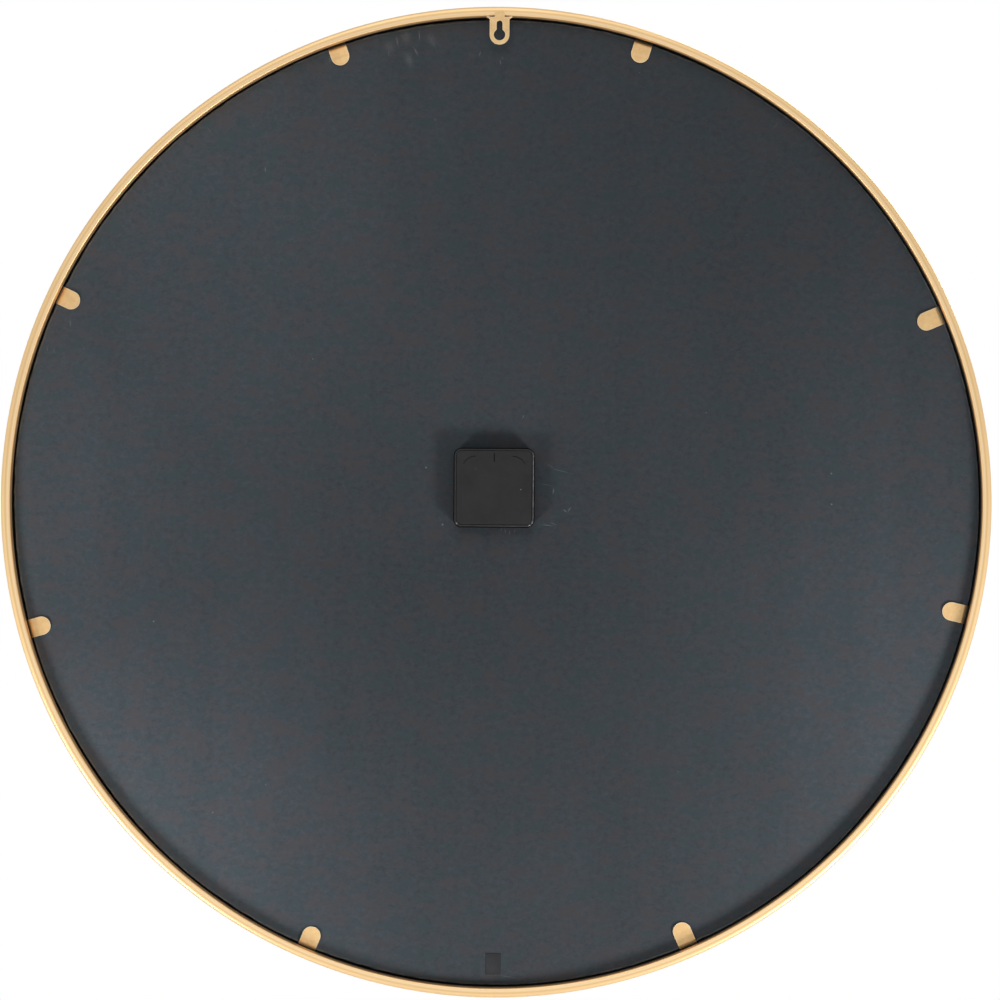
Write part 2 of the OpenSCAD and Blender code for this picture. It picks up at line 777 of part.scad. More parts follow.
module bridge_screws() {
    color("silver") for (place = post_places) translate([place[0], place[1], 0]) difference() {
        union() {
            disc(screw_head_r, bridge_z - screw_head_t, bridge_z);
            disc(screw_r, bridge_z, bridge_z + bridge_t + 3);
        }
        translate([0, 0, bridge_z - screw_head_t]) {
            cube([1.6, 0.4, 0.8], center = true);
            cube([0.4, 1.6, 0.8], center = true);
        }
    }
}

module hour_wheel() {
    color("white") difference() {
        union() {
            translate([0, 0, hour_wheel_z]) gear(hour_teeth, hour_mod, hour_phase, hour_wheel_t);
            disc(hour_tube_r, hour_wheel_z, hour_tube_front_z);
        }
        disc(minute_tube_r + pivot_fit, hour_wheel_z - over, hour_tube_front_z + over);
    }
}

module motion_wheel() {
    pinion_t = hour_wheel_z + hour_wheel_t + 0.1 - motion_wheel_z - wheel_t;
    color("white") translate([motion_at[0], motion_at[1], motion_wheel_z]) difference() {
        union() {
            gear(motion_teeth, cannon_mod, motion_phase, wheel_t);
            translate([0, 0, wheel_t]) gear(motion_pinion_teeth, hour_mod, 0, pinion_t);
        }
        translate([0, 0, -over]) cylinder(r = motion_stud_r + pivot_fit, h = wheel_t + pinion_t + 2 * over);
    }
}

module minute_tube() {
    flange_z = centre_wheel_z - 0.3;
    color("gold") difference() {
        union() {
            disc(minute_tube_r + 0.75, flange_z, centre_wheel_z - 0.05);
            disc(minute_tube_r, flange_z, minute_tube_front_z);
            translate([0, 0, cannon_z]) gear(cannon_teeth, cannon_mod, 0, cannon_t);
        }
        disc(seconds_arbor_r + pivot_fit, flange_z - over, minute_tube_front_z + over);
    }
}

module clutch_washer() {
    color("silver") difference() {
        disc(minute_tube_r + 0.75, centre_wheel_z + wheel_t + 0.05, cannon_z);
        disc(minute_tube_r, centre_wheel_z, cannon_z + over);
    }
}

module centre_wheel() {
    color("white") difference() {
        translate([0, 0, centre_wheel_z]) gear(centre_teeth, centre_mod, centre_phase, wheel_t);
        disc(minute_tube_r + pivot_fit, centre_wheel_z - over, centre_wheel_z + wheel_t + over);
    }
}

module third_wheel() {
    pinion_t = centre_wheel_z + wheel_t + 0.3 - third_wheel_z - wheel_t;
    color("white") translate([third_at[0], third_at[1], 0]) {
        translate([0, 0, third_wheel_z]) gear(third_teeth, third_mod, third_phase, wheel_t);
        translate([0, 0, third_wheel_z + wheel_t]) gear(third_pinion_teeth, centre_mod, 0, pinion_t);
        disc(third_arbor_r, arbor_rear_z, third_wheel_z + 4.3);
    }
}

module seconds_wheel() {
    pinion_t = third_wheel_z + wheel_t + 0.2 - seconds_wheel_z - wheel_t;
    color("white") translate([0, 0, seconds_wheel_z]) difference() {
        union() {
            gear(seconds_teeth, step_mod, 0, wheel_t);
            translate([0, 0, wheel_t]) gear(seconds_pinion_teeth, third_mod, 0, pinion_t);
        }
        translate([0, 0, -over]) cylinder(r = seconds_arbor_r, h = wheel_t + pinion_t + 2 * over);
    }
}

module seconds_arbor() {
    color("silver") disc(seconds_arbor_r, arbor_rear_z, hour_tube_front_z);
}

module step_wheel() {
    pinion_t = seconds_wheel_z + wheel_t + 0.3 - step_wheel_z - wheel_t;
    color("white") translate([step_at[0], step_at[1], 0]) {
        translate([0, 0, step_wheel_z]) gear(step_teeth, rotor_mod, 0, wheel_t);
        translate([0, 0, step_wheel_z + wheel_t]) gear(step_pinion_teeth, step_mod, step_pinion_phase, pinion_t);
        disc(step_arbor_r, arbor_rear_z, seconds_wheel_z + 2.7);
    }
}

module rotor_pinion() {
    pinion_z = magnet_z + magnet_t;
    color("white") translate([rotor_at[0], rotor_at[1], 0]) {
        translate([0, 0, pinion_z]) gear(rotor_teeth, rotor_mod, rotor_phase, step_wheel_z + wheel_t + 0.5 - pinion_z);
        disc(magnet_bore_r, magnet_z, pinion_z);
        disc(rotor_arbor_r, arbor_rear_z, step_wheel_z + 2.9);
    }
}

module rotor_magnet() {
    color("gray") translate([rotor_at[0], rotor_at[1], 0]) difference() {
        disc(magnet_r, magnet_z, magnet_z + magnet_t);
        disc(magnet_bore_r, magnet_z - over, magnet_z + magnet_t + over);
    }
}

// Plate round the rotor with one arm to each end of the coil's core
module stator_plate() {
    arm_x = coil_x - bobbin_w / 2 - 0.3 - 2 * arm_half;
    arm_end = coil_x + core_w / 2 - arm_x;
    color("silver") translate([0, 0, stator_z]) linear_extrude(stator_t) difference() {
        union() {
            translate(rotor_at) circle(magnet_r + stator_gap + stator_ring_w);
            translate([arm_x, rotor_at[1]]) square([2 * arm_half, arm_y + arm_half - rotor_at[1]]);
            translate([arm_x, arm_y - arm_half]) square([arm_end, 2 * arm_half]);
            translate([rotor_at[0], -arm_y - arm_half]) square([coil_x + core_w / 2 - rotor_at[0], 2 * arm_half]);
        }
        translate(rotor_at) circle(magnet_r + stator_gap);
    }
}

module coil_core() {
    color("silver") translate([coil_x, 0, coil_z]) cube([core_w, 2 * core_half, core_t], center = true);
}

// Extrusion along the coil, centred on the coil's middle
module along_coil(half) {
    translate([coil_x, half, coil_z]) rotate([90, 0, 0]) linear_extrude(2 * half) children();
}

module coil_bobbin() {
    color("ivory") difference() {
        union() {
            along_coil(coil_half) rounded_outline(spool_w, spool_h, 1);
            for (side = [-1, 1]) translate([0, side * (coil_half + flange_t / 2), 0])
                along_coil(flange_t / 2) rounded_outline(bobbin_w, bobbin_h, 1.5);
        }
        translate([coil_x, 0, coil_z]) cube([core_w, 2 * core_half, core_t], center = true);
    }
}

module coil_winding() {
    color("chocolate") difference() {
        along_coil(coil_half) rounded_outline(winding_w, winding_h, 2);
        along_coil(coil_half + over) rounded_outline(spool_w, spool_h, 1);
    }
}

module circuit_board() {
    color("green") translate([0, 0, circuit_z]) linear_extrude(circuit_t) difference() {
        union() {
            translate([circuit_left, circuit_top - circuit_strip_h])
                square([circuit_right - circuit_left, circuit_strip_h]);
            translate([circuit_left, circuit_top - circuit_main_h]) square([circuit_main_w, circuit_main_h]);
        }
        for (place = post_places) translate(place) circle(post_r + 0.15);
    }
}

module control_chip() {
    color("black") translate([circuit_left + chip_inset, circuit_top - circuit_main_h + chip_inset, circuit_z - 1])
        cube([chip_w, chip_w, 1]);
}

module quartz_crystal() {
    color("silver") translate([circuit_left + chip_inset, circuit_top - chip_inset, circuit_z - crystal_r - 0.05])
        rotate([0, 90, 0]) cylinder(r = crystal_r, h = crystal_len);
}

// Leaf against the case's right wall, with a tail to the circuit board
module contact_positive() {
    color("silver") translate([inner_right - contact_t, 0, 0]) {
        translate([0, battery_y - contact_w / 2, battery_z - contact_w / 2]) cube([contact_t, contact_w, contact_w]);
        translate([0, circuit_top - 3, circuit_z - 1]) cube([contact_t, battery_y - circuit_top + 3, 2]);
    }
}

// Leaf against the case's left wall, with a tail and a cone that stands for its spring
module contact_negative() {
    color("silver") translate([inner_left, 0, 0]) {
        translate([0, battery_y - contact_w / 2, battery_z - contact_w / 2]) cube([contact_t, contact_w, contact_w]);
        translate([0, circuit_top - 3, circuit_z - 1]) cube([contact_t, battery_y - circuit_top + 3, 2]);
        translate([contact_t, battery_y, battery_z]) rotate([0, 90, 0]) cylinder(r1 = 3.5, r2 = 2, h = spring_len);
    }
}

module battery_cell() {
    color("darkorange") translate([inner_right - contact_t - battery_len, battery_y, battery_z]) rotate([0, 90, 0]) {
        cylinder(r = battery_r, h = battery_len - nub_len);
        cylinder(r = nub_r, h = battery_len);
    }
}

// Thumb disc with notches behind the bridge, shaft, gear in mesh with the motion wheel, and front pivot
module setting_knob() {
    head_z = bridge_z - 0.2 - knob_head_t;
    notches = 18;
    color("white") translate([knob_at[0], knob_at[1], 0]) difference() {
        union() {
            disc(knob_head_r, head_z, head_z + knob_head_t);
            disc(knob_shaft_r, head_z, motion_wheel_z);
            translate([0, 0, motion_wheel_z - 0.2]) gear(knob_teeth, cannon_mod, knob_phase, wheel_t + 0.4);
            disc(knob_pivot_r, motion_wheel_z, motion_wheel_z + 2.4);
        }
        for (i = [0 : notches - 1]) rotate([0, 0, i * 360 / notches])
            translate([knob_head_r, 0, head_z - over]) cylinder(r = 0.35, h = knob_head_t + 2 * over, $fn = 24);
    }
}

// Stands the clock up with its face towards -Y and puts the keyhole at the origin
module hung() {
    translate([0, 0, -hang_rise]) rotate([90, 0, 0]) children();
}

hung() ring_tube();
hung() front_lip();
hung() retaining_tabs();
hung() keyhole_hanger();
hung() mirror_glass();
hung() mirror_coat();
hung() backing_board();
hung() tape_patch();
hung() hour_markers();
hung() hour_hand();
hung() hour_hand_bush();
hung() minute_hand();
hung() minute_hand_bush();
hung() hand_cap_nut();
hung() dial_nut();
hung() dial_washer();
hung() rubber_gasket();
hung() movement_case();
hung() threaded_bush();
hung() back_cover();
hung() train_bridge();
hung() bridge_screws();
hung() hour_wheel();
hung() motion_wheel();
hung() minute_tube();
hung() clutch_washer();
hung() centre_wheel();
hung() third_wheel();
hung() seconds_wheel();
hung() seconds_arbor();
hung() step_wheel();
hung() rotor_pinion();
hung() rotor_magnet();
hung() stator_plate();
hung() coil_core();
hung() coil_bobbin();
hung() coil_winding();
hung() circuit_board();
hung() control_chip();
hung() quartz_crystal();
hung() contact_positive();
hung() contact_negative();
hung() battery_cell();
hung() setting_knob();
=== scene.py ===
import json
import math

import bmesh
import bpy
from mathutils import Matrix, Quaternion, Vector, noise


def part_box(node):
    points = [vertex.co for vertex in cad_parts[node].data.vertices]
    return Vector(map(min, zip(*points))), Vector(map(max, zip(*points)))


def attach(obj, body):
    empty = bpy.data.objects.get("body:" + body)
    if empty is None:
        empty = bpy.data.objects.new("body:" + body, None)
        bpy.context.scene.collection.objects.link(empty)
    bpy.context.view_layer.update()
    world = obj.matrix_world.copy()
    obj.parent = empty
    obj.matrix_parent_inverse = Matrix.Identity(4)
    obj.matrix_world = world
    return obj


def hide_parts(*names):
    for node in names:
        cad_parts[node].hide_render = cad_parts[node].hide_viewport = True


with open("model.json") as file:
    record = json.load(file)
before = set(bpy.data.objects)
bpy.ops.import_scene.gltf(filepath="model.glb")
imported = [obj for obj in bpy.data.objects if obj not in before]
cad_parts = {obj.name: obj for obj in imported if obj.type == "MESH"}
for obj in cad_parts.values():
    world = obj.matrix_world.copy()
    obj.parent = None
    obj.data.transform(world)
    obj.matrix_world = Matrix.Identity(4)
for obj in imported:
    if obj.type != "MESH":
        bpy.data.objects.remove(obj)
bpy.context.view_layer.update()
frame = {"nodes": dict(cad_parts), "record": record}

bl_info = {
    "name": "Mirror clock looks",
    "version": (1, 0, 0),
    "blender": (4, 5, 0),
    "location": "3D View > Sidebar > Clock",
    "description": "Dresses the packed mirror clock with detailed pieces, finishes, a camera and soft light",
    "category": "Object",
}

MM = 0.001
SLOT_OF_NODE = {row["node"]: row["material_slot"] for row in frame["record"]["subparts"]}

# The dial axis runs along Y through this height
RING_LOW, RING_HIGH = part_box("ring_tube")
DIAL_HEIGHT = (RING_LOW.z + RING_HIGH.z) / 2
HUNG = Matrix.Translation((0, 0, DIAL_HEIGHT)) @ Matrix.Rotation(math.radians(90), 4, "X")


def depths(node):
    """Rear and front of a node, measured forward from the wall plane."""
    low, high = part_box(node)
    return -high.y, -low.y


def face(node):
    """Width and height of a node seen along the dial axis, and its middle measured from that axis."""
    low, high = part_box(node)
    middle = ((low.x + high.x) / 2, (low.z + high.z) / 2 - DIAL_HEIGHT)
    return high.x - low.x, high.z - low.z, middle


CASE_CORNER = 5 * MM
BOARD_REAR, BOARD_FRONT = depths("backing_board")
COVER_REAR, COVER_FRONT = depths("back_cover")
RING_REAR, RING_FRONT = depths("ring_tube")


# Settings that a user would change

def length_setting(name, description, default):
    return bpy.props.FloatProperty(name=name, description=description, default=default, unit="LENGTH")


def power_setting(name, description, default):
    return bpy.props.FloatProperty(name=name, description=description, default=default, unit="POWER")


def colour_setting(name, description, default):
    return bpy.props.FloatVectorProperty(
        name=name, description=description, default=(*default, 1), size=4, subtype="COLOR")


class ClockShapeSettings(bpy.types.PropertyGroup):
    ring_radius: length_setting("Ring radius", "Outer radius of the ring", 350 * MM)
    ring_width: length_setting("Ring width", "Radial width of the ring's tube", 7 * MM)
    board_radius: length_setting("Board radius", "Mean radius of the board's sawn edge", 342.1 * MM)
    edge_wave: length_setting("Edge wave", "How far the board's sawn edge wanders", 0.7 * MM)
    edge_rag: length_setting("Edge raggedness", "Size of the chips along the board's edge", 0.45 * MM)
    hole_fit: length_setting("Hole fit", "Gap all round between the movement and the board", 0.5 * MM)
    hole_edge: length_setting("Hole edge", "Rounding of the hole's rear edge", 0.4 * MM)
    board_drift: length_setting("Board drift", "How far the board lies off the ring's middle", -0.35 * MM)
    tab_width: length_setting("Tab width", "Width of each bent tab", 13 * MM)
    tab_sheet: length_setting("Tab sheet", "Sheet thickness of the tabs", 0.8 * MM)
    cover_edge: length_setting("Cover edge", "Rounding of the rear cover's outer edge", 0.7 * MM)


class ClockFinishSettings(bpy.types.PropertyGroup):
    gold: colour_setting("Ring gold", "Champagne gold of the ring", (0.93, 0.65, 0.34))
    tab_gold: colour_setting("Tab gold", "Gold of the tabs and the hanger", (0.91, 0.61, 0.29))
    board: colour_setting("Board", "Charcoal coat of the backing board", (0.0425, 0.0505, 0.0592))
    # Pale edge colour: partly bare fibre, partly a painted highlight where the edge catches the light
    worn_highlit_edge: colour_setting("Worn edge", "Bare fibre along the board's edge", (0.21, 0.215, 0.21))
    cover: colour_setting("Cover", "Black plastic of the rear cover", (0.0262, 0.0252, 0.0268))
    mirror_paint: colour_setting("Mirror paint", "Paint on the back of the mirror", (0.050, 0.056, 0.062))


class ClockStageSettings(bpy.types.PropertyGroup):
    camera_distance: length_setting("Camera distance", "From the camera to where the ring is widest", 2.6)
    camera_roll: bpy.props.FloatProperty(
        name="Camera roll", description="Lean of the picture", default=math.radians(0.4), subtype="ANGLE")
    left_power: power_setting("Left lamp power", "Power of the lower left lamp", 3.8)
    right_power: power_setting("Right lamp power", "Power of the lower right lamp", 5.0)
    top_power: power_setting("Top lamp power", "Power of the upper lamp", 5.6)
    front_power: power_setting("Front lamp power", "Power of the lamp on the dial's side", 25.0)
    room_light: bpy.props.FloatProperty(
        name="Room light", description="Even light from all round", default=0.13)
    floor_drop: length_setting("Floor drop", "From the ring's lowest point down to the floor", 0.95)


# Node trees, for the shared effects and the finishes

EFFECTS = {}
MATERIALS = {}


def shade(colour, *factors):
    """A colour times one factor, or times a factor each for red, green and blue."""
    factors = factors if len(factors) == 3 else factors * 3
    return tuple(min(1.0, part * factor) for part, factor in zip(colour, factors)) + (1,)


class NodeMaker:
    """Adds nodes to one tree and joins them."""

    def __init__(self, tree):
        self.tree = tree

    def add(self, kind, inputs=None, **settings):
        """A new node with its settings, and its inputs set or joined by name or number."""
        node = self.tree.nodes.new("ShaderNode" + kind)
        for name, value in settings.items():
            setattr(node, name, value)
        for key, value in (inputs or {}).items():
            if isinstance(value, bpy.types.NodeSocket):
                self.tree.links.new(value, node.inputs[key])
            else:
                node.inputs[key].default_value = value
        return node

    def calc(self, operation, first, second=0.0):
        return self.add("Math", {0: first, 1: second}, operation=operation).outputs[0]

    def plus(self, first, second):
        return self.calc("ADD", first, second)

    def minus(self, first, second):
        return self.calc("SUBTRACT", first, second)

    def times(self, first, second):
        return self.calc("MULTIPLY", first, second)

    def larger(self, first, second):
        return self.calc("MAXIMUM", first, second)

    def size_of(self, value):
        return self.calc("ABSOLUTE", value)

    def reach(self, first, second):
        """Distance of a point from the origin, from its two coordinates."""
        return self.calc("SQRT", self.plus(self.times(first, first), self.times(second, second)))

    def weighted(self, *parts):
        """Sum of values, each times its weight."""
        total = None
        for value, weight in parts:
            part = self.times(value, weight)
            total = part if total is None else self.plus(total, part)
        return total

    def remap(self, value, low, high, new_low=0.0, new_high=1.0):
        node = self.add("MapRange", {
            "Value": value, "From Min": low, "From Max": high, "To Min": new_low, "To Max": new_high})
        return node.outputs["Result"]

    def blend(self, share, first, second):
        """A mix of two colours."""
        return self.add("Mix", {0: share, 6: first, 7: second}, data_type="RGBA").outputs[2]

    def blend_values(self, share, first, second):
        return self.add("Mix", {0: share, 2: first, 3: second}, data_type="FLOAT").outputs[0]

    def stretched(self, vector, scale, turn=(0, 0, 0)):
        return self.add("Mapping", {"Vector": vector, "Rotation": turn, "Scale": scale}).outputs[0]

    def clouds(self, vector, scale, detail, rough):
        node = self.add("TexNoise", {"Vector": vector, "Scale": scale, "Detail": detail, "Roughness": rough})
        return node.outputs[0]

    def streaks(self, vector, scale, detail, rough):
        """Clouds with a scale of their own along each axis."""
        return self.clouds(self.stretched(vector, scale), 1.0, detail, rough)

    def split(self, vector):
        return self.add("SeparateXYZ", {0: vector}).outputs

    def effect(self, name, **inputs):
        """A shared effect, placed with its own values."""
        return self.add("Group", inputs, node_tree=EFFECTS[name]).outputs


class SharedEffect(NodeMaker):
    """A node group. Each input is a value with its default, or a vector where that is None."""

    def __init__(self, name, **inputs):
        super().__init__(bpy.data.node_groups.new(name, "ShaderNodeTree"))
        for label, default in inputs.items():
            kind = "NodeSocketVector" if default is None else "NodeSocketFloat"
            socket = self.tree.interface.new_socket(name=label, in_out="INPUT", socket_type=kind)
            if default is not None:
                socket.default_value = default
        self.given = self.tree.nodes.new("NodeGroupInput").outputs

    def put_out(self, **outputs):
        """Names and joins the group's outputs, and gives the finished group."""
        for label, value in outputs.items():
            kind = "NodeSocketVector" if value.type == "VECTOR" else "NodeSocketFloat"
            self.tree.interface.new_socket(name=label, in_out="OUTPUT", socket_type=kind)
        ends = self.tree.nodes.new("NodeGroupOutput").inputs
        for label, value in outputs.items():
            self.tree.links.new(value, ends[label])
        return self.tree


class Finish(NodeMaker):
    """A material with one Principled shader, and the place on the piece that it reads."""

    def __init__(self, name, metallic=0.0, roughness=0.5, specular=0.5):
        self.material = bpy.data.materials.new(name)
        self.material.use_nodes = True
        super().__init__(self.material.node_tree)
        self.tree.nodes.clear()
        self.shader = self.add("BsdfPrincipled", {
            "Metallic": metallic, "Roughness": roughness, "Specular IOR Level": specular})
        self.end = self.add("OutputMaterial", {0: self.shader.outputs[0]})
        self.place = self.add("TexCoord").outputs["Object"]

    def feed(self, socket, value):
        self.tree.links.new(value, self.shader.inputs[socket])

    def bump(self, height, distance, strength):
        node = self.add("Bump", {"Height": height, "Distance": distance, "Strength": strength})
        self.feed("Normal", node.outputs[0])

    def grain(self, scale):
        return self.effect("grain", Vector=self.place, Scale=scale)

    def dust(self, scale, share, size, place=None):
        return self.effect("dust", Vector=place or self.place, Scale=scale, Share=share, Size=size)["Mask"]

    def ring(self):
        return self.effect("ring_place", Vector=self.place)

    def rubbed(self, colour, edge_width, strength, edge_colour):
        """A colour with brighter edges: rubbed wear on most pieces, and on the tabs and hanger partly a
        painted highlight.
        """
        edge = self.effect("edge", Width=edge_width)["Mask"]
        return self.blend(self.times(edge, strength), colour, edge_colour)

    def strongest(self, marks):
        """The strongest of a list of soft marks at each point."""
        found = None
        for across, up, lean, length, width, strength in marks:
            mark = self.effect(
                "scuff", Vector=self.place, Across=across * MM, Up=up * MM, Lean=math.radians(lean),
                Length=length * MM, Width=width * MM)["Mask"]
            mark = self.times(mark, strength)
            found = mark if found is None else self.larger(found, mark)
        return found

    def done(self, colour, roughness):
        """Joins colour and roughness to the shader, and gives the finished material."""
        self.feed("Base Color", colour)
        self.feed("Roughness", roughness)
        return self.material


# Effects that several finishes share

def make_grain():
    """Moulded or sprayed grain: a fine height and a slow cloudy tone."""
    grain = SharedEffect("Fine grain", Vector=None, Scale=900.0)
    place, scale = grain.given["Vector"], grain.given["Scale"]
    fine = grain.clouds(place, scale, detail=3.0, rough=0.6)
    slow = grain.clouds(place, grain.times(scale, 0.035), detail=4.0, rough=0.55)
    return grain.put_out(Height=fine, Cloud=slow)


def make_dust():
    """Sparse round specks: one in a few cells, each with its own size."""
    dust = SharedEffect("Dust specks", Vector=None, Scale=60.0, Share=0.2, Size=0.06)
    cells = dust.add("TexVoronoi", {"Vector": dust.given["Vector"], "Scale": dust.given["Scale"]}).outputs
    pick = dust.add("SeparateColor", {"Color": cells["Color"]}).outputs
    chosen = dust.calc("LESS_THAN", pick[0], dust.given["Share"])
    size = dust.times(pick[1], dust.given["Size"])
    near = dust.calc("DIVIDE", cells["Distance"], dust.plus(size, 0.012))
    soft = dust.remap(near, 0.6, 1.0, 1.0, 0.0)
    strength = dust.remap(pick[2], 0.0, 1.0, 0.25, 1.0)
    return dust.put_out(Mask=dust.times(dust.times(soft, chosen), strength))


def make_ring_place():
    """Place on the ring: turn round the dial axis, distance from it, and depth."""
    ring = SharedEffect("Ring place", Vector=None)
    across, painted_shade_gold, high = ring.split(ring.given["Vector"])
    up = ring.minus(high, DIAL_HEIGHT)
    radius = ring.reach(across, up)
    joined = ring.add("CombineXYZ", {0: ring.calc("ARCTAN2", across, up), 1: radius, 2: painted_shade_gold})
    return ring.put_out(Place=joined.outputs[0], Radius=radius)


def make_edge():
    """Edges of a piece, found where a rounded normal leaves the true one."""
    edge = SharedEffect("Edge wear", Width=0.4 * MM)
    rounded = edge.add("Bevel", {"Radius": edge.given["Width"]}, samples=6).outputs[0]
    true_normal = edge.add("NewGeometry").outputs["Normal"]
    match = edge.add("VectorMath", {0: rounded, 1: true_normal}, operation="DOT_PRODUCT").outputs["Value"]
    return edge.put_out(Mask=edge.remap(match, 0.998, 0.93))


def make_scuff():
    """One soft stroke at a place on the clock's back and at an angle."""
    scuff = SharedEffect(
        "Scuff stroke", Vector=None, Across=0.0, Up=0.0, Lean=0.0, Length=6 * MM, Width=0.8 * MM)
    given = scuff.given
    side, _, high = scuff.split(given["Vector"])
    across = scuff.minus(side, given["Across"])
    up = scuff.minus(scuff.minus(high, DIAL_HEIGHT), given["Up"])
    cosine, sine = scuff.calc("COSINE", given["Lean"]), scuff.calc("SINE", given["Lean"])
    along = scuff.plus(scuff.times(up, cosine), scuff.times(across, sine))
    aside = scuff.minus(scuff.times(across, cosine), scuff.times(up, sine))
    far = scuff.calc("POWER", scuff.calc("DIVIDE", along, given["Length"]), 2.0)
    wide = scuff.calc("POWER", scuff.calc("DIVIDE", aside, given["Width"]), 2.0)
    return scuff.put_out(Mask=scuff.calc("EXPONENT", scuff.times(scuff.plus(far, wide), -2.5)))


def make_effects():
    EFFECTS.update(grain=make_grain(), dust=make_dust(), ring_place=make_ring_place(), edge=make_edge(),
                   scuff=make_scuff())


# Finishes

def make_gold_paint(finish):
    """Satin sprayed gold with fine lines round the ring, painted highlight and shade lines, and painted shade
    on its inner edge and on the wall behind the board.
    """
    look = Finish("gold_paint_satin", metallic=0.62, roughness=0.40)
    ring = look.ring()
    radius = ring["Radius"]
    lines = look.streaks(ring["Place"], (5.0, 1500.0, 1500.0), detail=3.0, rough=0.6)
    patches = look.streaks(ring["Place"], (9.0, 60.0, 60.0), detail=3.0, rough=0.5)
    tone = look.weighted((lines, 0.6), (patches, 0.4))
    dark, light = shade(finish.gold, 0.93, 0.90, 0.84), shade(finish.gold, 1.06)
    colour = look.blend(look.remap(tone, 0.32, 0.68), dark, light)
    pale, painted_shade_gold = (1.0, 0.80, 0.53, 1), shade(finish.gold, 0.86, 0.79, 0.66)
    # Painted lines round the ring in place of light on the rolled tube, a pale painted highlight and a darker
    # painted shade: radius and half width in mm, strength, colour
    for middle, half, strength, painted_line_colour in ((345.2, 0.75, 0.75, pale), (346.7, 0.8, 0.85, painted_shade_gold)):
        off = look.size_of(look.minus(radius, middle * MM))
        colour = look.blend(look.remap(off, 0.0, half * MM, strength, 0.0), colour, painted_line_colour)
    dust = look.dust(scale=240.0, share=0.05, size=0.07)
    colour = look.blend(look.times(dust, 0.5), colour, shade(finish.gold, 0.45))
    wall = 343 * MM
    # Painted shade: the ring's inner edge is darkened to a brown gold, where shade falls beside the board
    painted_shade_inner_edge = look.remap(radius, wall + 0.3 * MM, wall + 1.3 * MM, 0.6, 0.0)
    colour = look.blend(painted_shade_inner_edge, colour, shade(painted_shade_gold, 0.9, 0.72, 0.62))
    # Painted shade on the wall behind the board: the gold reaches further down the wall on one side, and
    # comes back near the ring's front, and between them the wall is painted near-black
    on_wall = look.remap(radius, wall + 0.25 * MM, wall + 0.45 * MM, 1.0, 0.0)
    across, back, _ = look.split(look.place)
    depth = look.times(back, -1.0)
    shade_start_shift = look.remap(across, -300 * MM, 300 * MM, 0.0, 5 * MM)
    deeper_than_shade_start = look.remap(look.minus(depth, shade_start_shift), 3.5 * MM, 4.2 * MM)
    behind_front = look.remap(depth, 23.5 * MM, 24.5 * MM, 1.0, 0.0)
    painted_wall_shade = look.times(on_wall, look.times(deeper_than_shade_start, behind_front))
    colour = look.blend(painted_wall_shade, colour, (0.012, 0.010, 0.009, 1))
    look.bump(look.plus(look.grain(2600.0)["Height"], look.times(lines, 0.5)), 0.02 * MM, strength=0.5)
    gloss = look.remap(tone, 0.3, 0.7, 0.44, 0.36)
    return look.done(colour, look.blend_values(painted_wall_shade, gloss, 0.8))


def make_gold_tab(finish):
    """Gold sheet metal with brighter edges, partly bare cut metal and partly a painted highlight, and faint
    press marks.
    """
    look = Finish("gold_tab_satin", metallic=0.45, roughness=0.38)
    grain = look.grain(1800.0)
    press = look.streaks(look.place, (260.0, 260.0, 260.0), detail=4.0, rough=0.65)
    tone = look.weighted((grain["Cloud"], 0.6), (press, 0.4))
    dark, light = shade(finish.tab_gold, 0.86, 0.83, 0.78), shade(finish.tab_gold, 1.12)
    colour = look.blend(look.remap(tone, 0.35, 0.65), dark, light)
    # The brighter edges are partly bare cut metal and partly a painted highlight along the rim
    colour = look.rubbed(colour, 0.6 * MM, 0.9, (1.0, 0.93, 0.74, 1))
    look.bump(look.plus(grain["Height"], press), 0.03 * MM, strength=0.5)
    return look.done(colour, look.remap(tone, 0.3, 0.7, 0.46, 0.32))


# Broad pools of painted light on the board, brighter where the lamps would light it: across and up from the
# dial axis in mm, lean in degrees, length and width in mm, strength
PAINTED_LIGHT_POOLS = (
    (270, -235, 40, 300, 250, 0.86),
    (320, 40, 0, 340, 210, 0.70),
    (235, 240, 0, 340, 280, 0.85),
    (-310, -100, 10, 340, 210, 0.50),
)

